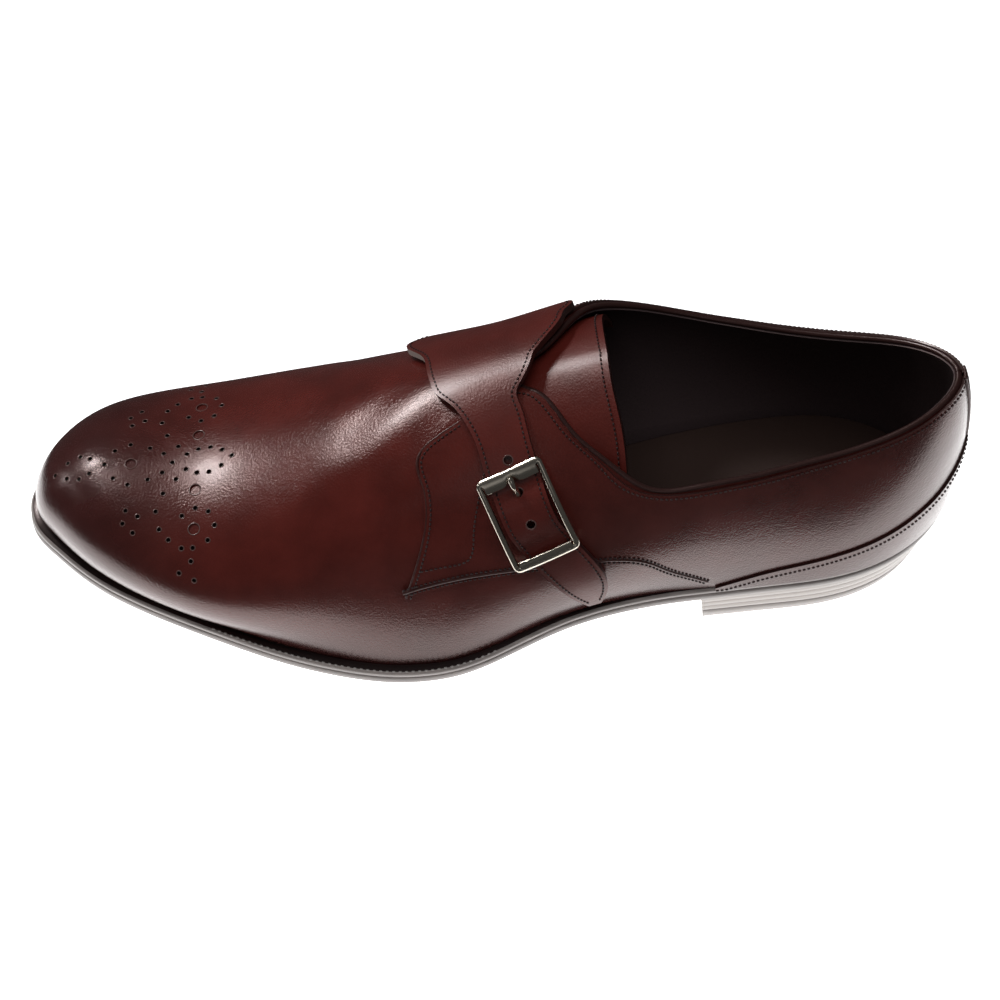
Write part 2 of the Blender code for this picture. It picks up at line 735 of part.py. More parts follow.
def strap_lift(station, girth):
    """Underside of the strap, arched over the buckle's centre bar."""
    arch = bar_lift() + 0.5 * CENTRE_BAR + GAP - strap_rest()
    reach = 0.88 * (0.5 * BUCKLE_LENGTH - TOP_BAR)
    run = np.abs(buckle_run(station, girth)) / reach
    return strap_rest() + arch * np.clip(1.0 - run ** 3, 0.0, None) ** 1.5


def hole_girths():
    """Girths of the strap's holes: the prong's own and one on each side."""
    girths = np.linspace(BUCKLE_GIRTH - 0.3, BUCKLE_GIRTH + 0.3, 121)
    runs = buckle_run(strap_row(girths)[0], girths)
    prong_run = PRONG_SHARE * (0.5 * BUCKLE_LENGTH - TOP_BAR)
    return [float(np.interp(prong_run + step * HOLE_PITCH, runs, girths)) for step in (1, 0, -1)]


def make_strap(paint):
    table = np.array(STRAP)
    rows = np.concatenate([np.linspace(table[0, 0], -0.30, 13), np.linspace(-0.335, -0.65, 13),
                           np.linspace(-0.71, table[-1, 0], 6)])
    middle, fore, aft = strap_row(rows)
    share = np.linspace(-1.0, 1.0, 7)[None, :]
    station = middle[:, None] + np.where(share > 0.0, fore[:, None], aft[:, None]) * share
    girth = rows[:, None] + 0.0 * share
    low = strap_lift(station, girth)
    outer = on_skin(station, girth, low + STRAP_THICK)
    inner = on_skin(station, girth, low)
    strap = add_object("strap", slab(outer, inner), paint)
    for index, hole in enumerate(hole_girths()):
        place = strap_row(hole)[0]
        low_end, high_end = (Vector(on_skin(place, hole, strap_lift(place, hole) + depth))
                             for depth in (-STRAP_THICK, 2.0 * STRAP_THICK))
        axis = high_end - low_end
        data = bmesh.new()
        turn = axis.to_track_quat("Z", "Y").to_matrix().to_4x4()
        bmesh.ops.create_cone(data, cap_ends=True, segments=14, radius1=0.5 * STRAP_HOLE,
                              radius2=0.5 * STRAP_HOLE, depth=axis.length,
                              matrix=Matrix.Translation((low_end + high_end) / 2.0) @ turn)
        cutter = add_object(f"hole_cutter_{index}", data, paint)
        cutter.hide_render = True
        cutter.display_type = "WIRE"
        cut = strap.modifiers.new(f"hole_{index}", "BOOLEAN")
        cut.operation = "DIFFERENCE"
        cut.object = cutter
    return strap


def buckle_point(run, across, lift):
    """Point at a distance along and across the strap from the buckle's middle."""
    station, girth = np.linalg.solve(skin_slopes(), [run, across])
    return on_skin(strap_row(BUCKLE_GIRTH)[0] + station, BUCKLE_GIRTH + girth, lift)


def frame_lift():
    """Lift of the middle of the buckle's frame, over the strap it holds down."""
    return strap_rest() + STRAP_THICK + 1.6 * GAP + 0.5 * BUCKLE_THICK


def make_buckle_frame(paint):
    """Rounded frame with a broad top bar, and the centre bar joined to it."""
    half_run = 0.5 * BUCKLE_LENGTH
    half_across = 0.5 * BUCKLE_WIDTH
    corner = 0.0022
    path = []
    for centre, start in (((half_run - corner, half_across - corner), 0.0),
                          ((corner - half_run, half_across - corner), 90.0),
                          ((corner - half_run, corner - half_across), 180.0),
                          ((half_run - corner, corner - half_across), 270.0)):
        for step in range(5):
            angle = math.radians(start + 22.5 * step)
            path.append((centre[0] + corner * math.cos(angle), centre[1] + corner * math.sin(angle),
                         math.cos(angle), math.sin(angle)))
    dense = []
    for here, there in zip(path, path[1:] + path[:1]):
        long_side = math.hypot(there[0] - here[0], there[1] - here[1])
        pieces = max(1, round(long_side / 0.0035))
        for k in range(pieces):
            mix = k / pieces
            dense.append([a * (1.0 - mix) + b * mix for a, b in zip(here, there)])
    data = bmesh.new()
    rings = []
    for run, across, out_run, out_across in dense:
        size = math.hypot(out_run, out_across)
        out_run, out_across = out_run / size, out_across / size
        end_bar = TOP_BAR if out_run > 0.0 else BOTTOM_BAR
        share = abs(out_run) ** 2
        width = SIDE_BAR + (end_bar - SIDE_BAR) * share
        ring = []
        for step in range(8):
            angle = 2.0 * math.pi * (step + 0.5) / 8
            sideways = 0.5 * width * (1.0 + math.cos(angle) / math.cos(math.pi / 8)) - width
            height = 0.5 * BUCKLE_THICK * math.sin(angle) / math.cos(math.pi / 8)
            point = buckle_point(run + out_run * sideways, across + out_across * sideways,
                                 frame_lift() + height)
            ring.append(data.verts.new(point))
        rings.append(ring)
    for ring, following in zip(rings, rings[1:] + rings[:1]):
        for k in range(8):
            j = (k + 1) % 8
            data.faces.new((ring[k], ring[j], following[j], following[k]))
    frame = add_object("buckle_frame", data, paint, 50.0)
    reach = half_across - 0.5 * SIDE_BAR
    drop = frame_lift() - bar_lift()
    route = [(-reach, frame_lift()), (-reach, frame_lift() - 0.5 * drop),
             (0.5 * SIDE_BAR - reach, bar_lift())]
    route += [(share * (reach - 0.5 * SIDE_BAR), bar_lift()) for share in (-0.6, -0.2, 0.2, 0.6)]
    route += [(reach - 0.5 * SIDE_BAR, bar_lift()), (reach, frame_lift() - 0.5 * drop),
              (reach, frame_lift())]
    bar = bmesh.new()
    tube(bar, [buckle_point(0.0, across, lift) for across, lift in route],
         0.40 * SIDE_BAR, 0.5 * CENTRE_BAR, buckle_axes()[0])
    join(frame, add_object("centre_bar", bar, paint), "centre_bar")
    return frame


def tube(data, points, end_radius, radius, across, sides=8):
    """Round bar through the points, with its end rings narrower than the rest."""
    points = np.array(points)
    rings = []
    for index, point in enumerate(points):
        ahead = points[min(index + 1, len(points) - 1)] - points[max(index - 1, 0)]
        first = np.cross(across, ahead)
        first /= np.linalg.norm(first)
        second = np.cross(ahead, first)
        second /= np.linalg.norm(second)
        size = end_radius if min(index, len(points) - 1 - index) < 2 else radius
        turns = [2.0 * math.pi * (step + 0.5) / sides for step in range(sides)]
        rings.append([data.verts.new(point + size * (first * math.cos(turn) + second * math.sin(turn)))
                      for turn in turns])
    for ring, following in zip(rings, rings[1:]):
        for k in range(sides):
            j = (k + 1) % sides
            data.faces.new((ring[k], ring[j], following[j], following[k]))
    data.faces.new(rings[0])
    data.faces.new(rings[-1])


def join(body, helper, name):
    """Union of a helper into a body by a Boolean modifier."""
    helper.hide_render = True
    helper.display_type = "WIRE"
    modifier = body.modifiers.new(name, "BOOLEAN")
    modifier.operation = "UNION"
    modifier.object = helper


def make_prong(paint):
    """Pin from the centre bar, up through the strap's hole, onto the top bar."""
    radius = 0.5 * PRONG_THICK
    hole = hole_girths()[1]
    place = strap_row(hole)[0]
    hole_run = float(buckle_run(place, hole))
    low = strap_lift(place, hole)
    lean = 0.2 * STRAP_THICK
    over = GAP + radius
    top = frame_lift() + 0.5 * BUCKLE_THICK + over
    route = (
        (0.5 * CENTRE_BAR + over, bar_lift()),
        (hole_run - lean, low - over),
        (hole_run, low + 0.5 * STRAP_THICK),
        (hole_run + lean, low + STRAP_THICK + over),
        (0.5 * BUCKLE_LENGTH - 0.90 * TOP_BAR, top),
        (0.5 * BUCKLE_LENGTH - 0.10 * TOP_BAR, top),
    )
    data = bmesh.new()
    tube(data, [buckle_point(run, 0.0, lift) for run, lift in route],
         radius, radius, buckle_axes()[1])
    return add_object("buckle_prong", data, paint)


def clear_scene():
    for thing in list(bpy.data.objects):
        bpy.data.objects.remove(thing, do_unlink=True)


def build():
    clear_scene()
    burgundy = (0.115, 0.024, 0.018)
    make_outsole(material("sole_leather", (0.115, 0.080, 0.062), 0.50))
    make_welt(material("welt_leather", (0.018, 0.013, 0.012), 0.40))
    make_heel(material("heel_leather", (0.150, 0.115, 0.095), 0.45),
              material("heel_rubber", (0.060, 0.052, 0.048), 0.70))
    make_insole(material("insole_leather", (0.330, 0.190, 0.110), 0.60))
    make_upper(material("vamp_calf", burgundy, 0.30))
    make_tongue(material("tongue_calf", (0.140, 0.026, 0.020), 0.38))
    make_quarter("lateral_quarter", LATERAL_FRONT, LATERAL_FOOT, LATERAL_HEAD,
                 material("lateral_calf", (0.085, 0.022, 0.018), 0.32))
    make_quarter("medial_quarter", MEDIAL_FRONT, MEDIAL_FOOT, MEDIAL_HEAD,
                 material("medial_calf", (0.085, 0.022, 0.018), 0.32))
    make_counter(material("counter_calf", (0.050, 0.016, 0.014), 0.30))
    make_backstay(material("backstay_calf", (0.055, 0.017, 0.014), 0.30))
    make_strap(material("strap_calf", (0.125, 0.026, 0.020), 0.34))
    silver = material("buckle_steel", (0.70, 0.69, 0.66), 0.15, 1.0)
    make_buckle_frame(silver)
    make_prong(material("prong_steel", (0.70, 0.69, 0.66), 0.18, 1.0))


build()
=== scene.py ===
import math

import bmesh
import bpy
import numpy as np
from mathutils import Matrix, Vector


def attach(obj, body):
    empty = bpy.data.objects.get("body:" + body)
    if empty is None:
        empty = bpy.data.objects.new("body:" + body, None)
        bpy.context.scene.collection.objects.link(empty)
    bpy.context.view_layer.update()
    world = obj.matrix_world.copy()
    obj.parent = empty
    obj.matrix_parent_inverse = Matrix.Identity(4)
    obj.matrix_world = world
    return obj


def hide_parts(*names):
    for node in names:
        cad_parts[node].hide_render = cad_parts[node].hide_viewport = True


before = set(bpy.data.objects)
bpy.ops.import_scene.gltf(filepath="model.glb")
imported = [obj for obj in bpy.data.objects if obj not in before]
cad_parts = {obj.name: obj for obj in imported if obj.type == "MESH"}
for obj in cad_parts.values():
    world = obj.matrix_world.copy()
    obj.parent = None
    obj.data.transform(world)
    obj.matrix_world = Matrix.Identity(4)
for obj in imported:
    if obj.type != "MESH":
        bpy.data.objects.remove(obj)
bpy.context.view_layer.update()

# Sizes of the last, as in the solids, in metres
LENGTH = 0.305
BALL_WIDTH = 0.1042
INSTEP_HEIGHT = 0.100
HEEL_RISE = 0.0185
SEAT_PITCH = 0.0025
TOE_SPRING = 0.0115
OUTSOLE_THICK = 0.0039
WELT_THICK = 0.0018
WELT_MARGIN = 0.0038
WAIST_MARGIN = 0.0018
SEAT_MARGIN = 0.0010
TOP_PIECE_THICK = 0.0060
HEEL_TAPER = 0.0042
COUNTER_OVERHANG = 0.0024
STRAP_WIDTH = 0.0160
STRAP_THICK = 0.0022
STRAP_REST = 0.00134
GAP = 0.0003
BREAST = 0.275
WAIST_END = 0.616
BALL_END = 0.695
THROAT = 0.492
TOE_FAN = 0.20
HEEL_FAN = 0.15
TOE_TIP_SHIFT = 0.038

# Columns: place along the length, lateral and medial half widths
SOLE_OUTLINE = (
    (0.0065, 0.048, 0.048), (0.030, 0.158, 0.162), (0.072, 0.259, 0.259), (0.131, 0.324, 0.311),
    (0.197, 0.350, 0.307), (0.275, 0.373, 0.274), (0.354, 0.397, 0.233), (0.420, 0.434, 0.220),
    (0.479, 0.497, 0.264), (0.531, 0.545, 0.348), (0.590, 0.555, 0.418), (0.646, 0.537, 0.444),
    (0.718, 0.482, 0.435), (0.797, 0.398, 0.393), (0.869, 0.315, 0.343), (0.928, 0.226, 0.286),
    (0.970, 0.128, 0.204), (0.992, 0.058, 0.125),
)

# Columns: place, ridge height, ridge shift, lateral and medial fullness,
# lateral and medial swell
SECTIONS = (
    (0.000, 1.130, 0.000, 0.11, 0.11, 0.025, 0.025),
    (0.131, 0.999, 0.007, 0.02, -0.09, 0.002, 0.038),
    (0.279, 1.042, 0.053, 0.09, 0.09, 0.017, 0.140),
    (0.410, 0.901, 0.103, -0.11, 0.37, 0.036, 0.195),
    (0.525, 0.787, 0.069, -0.01, 0.20, -0.027, 0.108),
    (0.656, 0.638, 0.013, 0.20, 0.13, -0.019, 0.068),
    (0.803, 0.466, 0.001, 0.20, 0.16, 0.086, 0.105),
    (0.918, 0.448, 0.022, 0.27, 0.17, 0.060, 0.086),
    (1.000, 0.415, 0.039, 0.17, 0.17, 0.018, 0.018),
)

# Edges, as rows of (place along the length, girth)
LATERAL_TOPLINE = (
    (0.000, -0.500), (0.052, -0.475), (0.111, -0.480), (0.174, -0.530),
    (0.231, -0.585), (0.288, -0.600), (0.342, -0.545), (0.386, -0.400),
    (0.418, -0.280), (0.444, -0.150), (0.463, -0.100), (THROAT, 0.000),
)
MEDIAL_TOPLINE = (
    (0.000, 0.500), (0.052, 0.490), (0.111, 0.485), (0.174, 0.530),
    (0.231, 0.592), (0.298, 0.625), (0.348, 0.592), (0.380, 0.525),
    (0.405, 0.400), (0.424, 0.260), (0.440, 0.150), (THROAT, 0.000),
)
LATERAL_FRONT = ((0.587, -0.742), (0.567, -0.542), (0.567, -0.342), (0.559, -0.200), (0.528, -0.155))
LATERAL_FOOT = ((0.587, -0.742), (0.509, -0.695), (0.450, -0.708), (0.380, -0.758), (0.345, -0.810),
                (0.318, -0.885), (0.275, -0.970), (0.150, -0.970), (0.050, -0.970), (0.004, -0.970))
LATERAL_HEAD = ((0.528, -0.155), (0.492, -0.085), (0.463, -0.115), (0.444, -0.165), (0.418, -0.290),
                (0.386, -0.410), (0.342, -0.555), (0.288, -0.610), (0.231, -0.595), (0.174, -0.540),
                (0.111, -0.490), (0.052, -0.485), (0.004, -0.506))
MEDIAL_FRONT = ((0.577, 0.790), (0.561, 0.683), (0.548, 0.508), (0.548, 0.430))
MEDIAL_FOOT = ((0.577, 0.790), (0.509, 0.770), (0.450, 0.775), (0.380, 0.795), (0.330, 0.860),
               (0.275, 0.970), (0.150, 0.970), (0.050, 0.970), (0.004, 0.970))
MEDIAL_HEAD = ((0.548, 0.430), (0.520, 0.375), (0.480, 0.345), (0.440, 0.345), (0.415, 0.385),
               (0.400, 0.445), (0.380, 0.535), (0.348, 0.602), (0.298, 0.635), (0.231, 0.602),
               (0.174, 0.540), (0.111, 0.495), (0.052, 0.500), (0.004, 0.506))
TONGUE_HEAD = ((0.358, -0.600), (0.362, -0.500), (0.368, -0.350), (0.379, -0.167), (0.384, 0.100),
               (0.385, 0.360), (0.377, 0.550), (0.369, 0.640))
TONGUE_ROOT = ((0.540, -0.330), (0.545, -0.100), (0.545, 0.120), (0.540, 0.330))
COUNTER_HEAD = ((0.000, 0.250), (0.010, 0.205), (0.026, 0.165), (0.046, 0.150), (0.082, 0.130),
                (0.131, 0.105), (0.174, 0.080), (0.216, 0.055), (0.262, 0.016))
COUNTER_FOOT = 0.004

# Columns: girth, middle along the length, half width forward and back
STRAP = (
    (0.425, 0.481, 1.36, 1.36), (0.400, 0.486, 1.52, 1.52), (0.333, 0.496, 1.56, 1.56),
    (0.280, 0.495, 1.47, 1.47), (0.225, 0.493, 1.33, 1.33), (0.125, 0.497, 1.15, 1.15),
    (0.017, 0.501, 1.02, 1.02), (-0.050, 0.501, 0.89, 0.89), (-0.090, 0.499, 0.72, 0.72),
    (-0.120, 0.498, 0.60, 0.60), (-0.167, 0.492, 0.55, 0.54), (-0.250, 0.483, 0.50, 0.50),
    (-0.342, 0.475, 0.50, 0.50), (-0.450, 0.463, 0.50, 0.50), (-0.550, 0.449, 0.50, 0.50),
    (-0.650, 0.428, 0.50, 0.49), (-0.750, 0.408, 0.46, 0.46), (-0.840, 0.395, 0.33, 0.33),
    (-0.905, 0.390, 0.12, 0.12),
)
BUCKLE_GIRTH = -0.500
HOLE_PITCH = 0.0100
PRONG_SHARE = 0.72
STRAP_HOLE = 0.0028
BUCKLE_LENGTH = 0.0310
TOP_BAR = 0.0048
BAR_ARCH = 0.0022

BUCKLE_WIDTH = 0.0230
BUCKLE_THICK = 0.0020
BUCKLE_CORNER = 0.0024
NOTCH_DEPTH = 0.0012
NOTCH_REACH = 0.0019
SIDE_BAR = 0.0021
BOTTOM_BAR = 0.0035
PRONG_THICK = 0.0021
FRAME_LIFT = STRAP_REST + STRAP_THICK + 1.6 * GAP + 0.5 * BUCKLE_THICK

# Heights over the skin: top and bottom of each layer of leather
VAMP = (-0.0001, -0.0026)
QUARTER = (0.0009, -0.0006)
COUNTER = (0.0017, 0.0005)
BACKSTAY = (0.0016, 0.0005)
TONGUE = (-0.0040, -0.0060)

# Stitches: length from one to the next, radius, height over their leather
STITCH_PITCH = 0.0015
STITCH_SIZE = 0.00030
STITCH_RISE = 0.00006

# Rolled edge of the collar
COLLAR_RADIUS = 0.00105
COLLAR_LIFT = -0.0011

FULL_TURN = 2.0 * math.pi


def spline(knots, values, at, closed=False):
    """Smooth curve through values at the knots, read at other places."""
    knots = np.asarray(knots, float)
    values = np.asarray(values, float)
    count = len(knots) - 1 if closed else len(knots)
    steps = np.diff(knots)
    matrix = np.zeros((count, count))
    right_side = np.zeros((count,) + values.shape[1:])
    for i in range(count):
        if not closed and i in (0, count - 1):
            matrix[i, i] = 1.0
            continue
        before, after = steps[i - 1], steps[i]
        matrix[i, (i - 1) % count] += before
        matrix[i, i] += 2.0 * (before + after)
        matrix[i, (i + 1) % count] += after
        rise = (values[(i + 1) % count] - values[i]) / after
        fall = (values[i] - values[i - 1]) / before
        right_side[i] = 6.0 * (rise - fall)
    bend = np.linalg.solve(matrix, right_side)
    at = np.clip(np.asarray(at, float), knots[0], knots[-1])
    span = np.clip(np.searchsorted(knots, at, side="right") - 1, 0, len(knots) - 2)
    following = (span + 1) % len(values)
    step = knots[span + 1] - knots[span]
    left, right = knots[span + 1] - at, at - knots[span]
    if values.ndim > 1:
        step, left, right = step[..., None], left[..., None], right[..., None]
    curve = (bend[span] * left ** 3 + bend[following] * right ** 3) / (6.0 * step)
    curve += (values[span] / step - bend[span] * step / 6.0) * left
    curve += (values[following] / step - bend[following] * step / 6.0) * right
    return curve


def column(table, at, index):
    """One column of a table of sections, read at stations in metres."""
    rows = np.array(table)
    return spline(rows[:, 0] * LENGTH, rows[:, index], at)


def outline_loop(samples=8000):
    """The sole's outline as a closed loop of points, from the toe's tip."""
    rows = [(1.0, TOE_TIP_SHIFT)]
    rows += [(place, -lateral) for place, lateral, _ in reversed(SOLE_OUTLINE)]
    rows += [(place, medial) for place, _, medial in SOLE_OUTLINE]
    points = np.array(rows) * (LENGTH, BALL_WIDTH)
    chords = np.linalg.norm(np.roll(points, -1, 0) - points, axis=1) ** 0.5
    knots = np.concatenate([[0.0], np.cumsum(chords)])
    at = np.linspace(0.0, knots[-1], samples, endpoint=False)
    return spline(knots, points, at, closed=True)


def welt_margin(station):
    """How far the sole's edge stands out past the upper's foot."""
    waist = np.clip((0.574 * LENGTH - station) / (0.246 * LENGTH), 0.0, 1.0)
    seat = np.clip((0.328 * LENGTH - station) / (0.098 * LENGTH), 0.0, 1.0)
    margin = WELT_MARGIN + (WAIST_MARGIN - WELT_MARGIN) * waist
    return margin + (SEAT_MARGIN - WAIST_MARGIN) * seat


def sole_height(station):
    """Height of the sole's underside: toe spring, arch and heel seat."""
    front = np.clip((station - BALL_END * LENGTH) / ((1.0 - BALL_END) * LENGTH), 0.0, None)
    arch = np.clip((WAIST_END * LENGTH - station) / ((WAIST_END - BREAST) * LENGTH), 0.0, 1.0)
    seat = np.clip(1.0 - station / (BREAST * LENGTH), 0.0, 1.0)
    return TOE_SPRING * front ** 1.8 + HEEL_RISE * arch ** 2 * (3.0 - 2.0 * arch) + SEAT_PITCH * seat


LOOP = outline_loop()
HEEL_END = LOOP[:, 0].min()
TOE_END = LOOP[:, 0].max()
MIDDLE = 0.5 * (TOE_END + HEEL_END - COUNTER_OVERHANG)
SIDE_MIDDLE = 0.5 * (LOOP[:, 1].max() + LOOP[:, 1].min())


def angle_table():
    """The outline and its inward direction by angle: 0 heel, pi toe tip."""
    tangent = np.roll(LOOP, -1, 0) - np.roll(LOOP, 1, 0)
    inward = np.stack([tangent[:, 1], -tangent[:, 0]], 1)
    inward /= np.linalg.norm(inward, axis=1)[:, None]
    if np.mean(np.sum(inward * (np.array([0.5 * LENGTH, 0.0]) - LOOP), 1)) < 0.0:
        inward = -inward
    ratio = np.clip((LOOP[:, 0] - HEEL_END) / (TOE_END - HEEL_END), 0.0, 1.0)
    angle = np.arccos(1.0 - 2.0 * ratio)
    toe, heel = int(np.argmax(LOOP[:, 0])), int(np.argmin(LOOP[:, 0]))
    rolled = (np.arange(len(LOOP)) - toe) % len(LOOP)
    angle = np.where(rolled > (heel - toe) % len(LOOP), FULL_TURN - angle, angle)
    order = np.argsort(angle)
    return angle[order], LOOP[order], inward[order]


ANGLES, EDGE, INWARD = angle_table()


def edge_point(angle, inset=0.0):
    """Point of the sole's outline, moved inward by the inset."""
    turn = np.mod(angle, FULL_TURN)
    columns = [np.interp(turn, ANGLES, values, period=FULL_TURN) for values in (*EDGE.T, *INWARD.T)]
    point, inward = np.stack(columns[:2], -1), np.stack(columns[2:], -1)
    return point + inward * np.asarray(inset)[..., None]


def station_of(angle):
    """Distance from the back of the heel at an angle of the outline."""
    return HEEL_END + (TOE_END - HEEL_END) * 0.5 * (1.0 - np.cos(angle))


def angle_of(station, girth):
    """Angle of the outline at a station, on the side that the girth names."""
    ratio = np.clip((station - HEEL_END) / (TOE_END - HEEL_END), 0.0, 1.0)
    angle = np.arccos(1.0 - 2.0 * ratio)
    return np.where(np.asarray(girth) > 0.0, FULL_TURN - angle, angle)


def side_angle(station):
    """The same for one station, on the lateral side, as a plain number."""
    return float(angle_of(station, -1.0))


def feather_height(station):
    """Height of the line where the upper meets the welt."""
    return sole_height(station) + OUTSOLE_THICK + WELT_THICK + 2.0 * GAP


def bare_skin(angle, climb):
    """Point of the skin: climb is 0 at the feather line, 1 at the ridge."""
    angle, climb = np.broadcast_arrays(np.asarray(angle, float), np.asarray(climb, float))
    station = station_of(angle)
    medial = np.mod(angle, FULL_TURN) > math.pi
    foot = edge_point(angle, welt_margin(station))
    reach = 2.0 * station / LENGTH - 1.0
    fan = np.where(reach > 0.0, TOE_FAN, HEEL_FAN)
    top = 0.5 * LENGTH * (1.0 + reach * (1.0 - fan * np.abs(reach) ** 4))
    ridge = np.stack([top, column(SECTIONS, top, 2) * BALL_WIDTH], -1)
    full = np.where(medial, column(SECTIONS, station, 4), column(SECTIONS, station, 3))
    swell = np.where(medial, column(SECTIONS, station, 6), column(SECTIONS, station, 5))
    turn = climb * 0.5 * math.pi
    rise = np.sin(turn) * (1.0 + full * np.cos(turn) ** 2)
    span = ridge - foot
    away = span / np.linalg.norm(span, axis=-1)[..., None]
    bulge = swell * BALL_WIDTH * 6.75 * climb * (1.0 - climb) ** 2
    plan = foot + span * (1.0 - np.cos(turn))[..., None] - away * bulge[..., None]
    low = feather_height(station)
    high = column(SECTIONS, plan[..., 0], 1) * INSTEP_HEIGHT
    height = low + (high - low) * rise
    return np.stack([MIDDLE - plan[..., 0], plan[..., 1] - SIDE_MIDDLE, height], -1)


def skin(angle, climb, lift=0.0):
    """Skin point lifted along the outward normal."""
    angle, climb = np.broadcast_arrays(np.asarray(angle, float), np.asarray(climb, float))
    step = 0.002
    middle = np.clip(climb, step, 0.985)
    along = bare_skin(angle + step, middle) - bare_skin(angle - step, middle)
    up = bare_skin(angle, middle + step) - bare_skin(angle, middle - step)
    normal = np.cross(up, along)
    normal /= np.linalg.norm(normal, axis=-1)[..., None]
    return bare_skin(angle, climb) + normal * np.asarray(lift)[..., None]


def on_skin(station, girth, lift=0.0):
    """Skin point by its station and girth."""
    return skin(angle_of(station, girth), 1.0 - np.abs(girth), lift)


def sole_plan(point):
    """Turns outline points into the frame's own X and Y."""
    return np.stack([MIDDLE - point[..., 0], point[..., 1] - SIDE_MIDDLE], -1)


def edge_curve(rows, count):
    """Points spread evenly along a smooth edge given as rows of pairs."""
    points = np.array(rows, float)
    chords = np.linalg.norm(np.diff(points, axis=0), axis=1)
    knots = np.concatenate([[0.0], np.cumsum(chords)])
    return spline(knots, points, np.linspace(0.0, knots[-1], count))


# Colours, linear
BURGUNDY = (0.052, 0.0100, 0.0080)
REDDISH = (0.066, 0.0095, 0.0070)
DARK = (0.0270, 0.0070, 0.0066)


def new_object(name, mesh, paints):
    """Links a mesh into the scene with its materials."""
    made = bpy.data.objects.new(name, mesh)
    bpy.context.scene.collection.objects.link(made)
    for paint in paints:
        mesh.materials.append(paint)
    return made


def mesh_from(name, points, faces, paints, smooth=35.0, picks=None):
    """Smooth mesh object from points and faces, its normals turned out."""
    mesh = bpy.data.meshes.new(name)
    mesh.from_pydata([tuple(p) for p in points], [], [tuple(f) for f in faces])
    if picks is not None:
        mesh.polygons.foreach_set("material_index", picks)
    data = bmesh.new()
    data.from_mesh(mesh)
    bmesh.ops.recalc_face_normals(data, faces=data.faces)
    data.to_mesh(mesh)
    data.free()
    mesh.shade_smooth()
    mesh.set_sharp_from_angle(angle=math.radians(smooth))
    return new_object(name, mesh, paints)


def slab(outer, inner):
    """Points and faces of a closed solid between two grids of points."""
    rows, columns = outer.shape[:2]
    index = np.arange(rows * columns).reshape(rows, columns)
    points = np.concatenate([outer.reshape(-1, 3), inner.reshape(-1, 3)])
    faces = []
    for layer in (0, rows * columns):
        quads = np.stack([index[:-1, :-1], index[1:, :-1], index[1:, 1:], index[:-1, 1:]], -1) + layer
        faces += quads.reshape(-1, 4).tolist()
    border = [*index[:, 0], *index[-1, 1:], *index[-2::-1, -1], *index[0, -2:0:-1]]
    picks = [0] * len(faces)
    for here, there in zip(border, border[1:] + border[:1]):
        faces.append([here, there, there + rows * columns, here + rows * columns])
        picks.append(1)
    return points, faces, picks


def punch(thing, cutters, sides, paint):
    """Cuts round holes, given as (start, end, radius), out of a closed mesh."""
    data = bmesh.new()
    for start, end, radius in cutters:
        start, end = Vector(start), Vector(end)
        axis = end - start
        turn = axis.to_track_quat("Z", "Y").to_matrix().to_4x4()
        bmesh.ops.create_cone(data, cap_ends=True, segments=sides, radius1=radius, radius2=radius,
                              depth=axis.length, matrix=Matrix.Translation(start.lerp(end, 0.5)) @ turn)
    mesh = bpy.data.meshes.new("cutter")
    data.to_mesh(mesh)
    data.free()
    mesh.materials.append(paint)
    cutter = bpy.data.objects.new("cutter", mesh)
    bpy.context.scene.collection.objects.link(cutter)
    cut = thing.modifiers.new("holes", "BOOLEAN")
    cut.operation = "DIFFERENCE"
    cut.solver = "EXACT"
    cut.material_mode = "TRANSFER"
    cut.object = cutter
    graph = bpy.context.evaluated_depsgraph_get()
    result = bpy.data.meshes.new_from_object(thing.evaluated_get(graph))
    thing.modifiers.clear()
    old = thing.data
    thing.data = result
    bpy.data.objects.remove(cutter, do_unlink=True)
    bpy.data.meshes.remove(old)
    result.shade_smooth()
    result.set_sharp_from_angle(angle=math.radians(50.0))


def smooth_mesh(name, data):
    """Mesh from bmesh data, smooth and with its normals turned out."""
    bmesh.ops.recalc_face_normals(data, faces=data.faces)
    mesh = bpy.data.meshes.new(name)
    data.to_mesh(mesh)
    data.free()
    mesh.shade_smooth()
    return mesh


def round_edges(thing, width):
    """Rounds the cut edges of a piece of leather."""
    bevel = thing.modifiers.new("edge", "BEVEL")
    bevel.width = width
    bevel.segments = 3
    bevel.limit_method = "ANGLE"
    bevel.angle_limit = math.radians(50.0)
    bevel.harden_normals = True


# Materials
def plain(name, colour, roughness, metallic=0.0, coat=0.0):
    """Material of one even colour."""
    made = bpy.data.materials.new(name)
    made.use_nodes = True
    shader = made.node_tree.nodes["Principled BSDF"]
    shader.inputs["Base Color"].default_value = (*colour, 1.0)
    shader.inputs["Roughness"].default_value = roughness
    shader.inputs["Metallic"].default_value = metallic
    shader.inputs["Coat Weight"].default_value = coat
    return made


def noise(nodes, links, vector, scale, detail):
    """Noise texture at the object's own scale."""
    made = nodes.new("ShaderNodeTexNoise")
    made.inputs["Scale"].default_value = scale
    made.inputs["Detail"].default_value = detail
    links.new(vector, made.inputs["Vector"])
    return made.outputs["Fac"]


def bump(nodes, links, height, strength, distance):
    """Bump node for a height, with its depth in metres."""
    made = nodes.new("ShaderNodeBump")
    made.inputs["Strength"].default_value = strength
    made.inputs["Distance"].default_value = distance
    links.new(height, made.inputs["Height"])
    return made


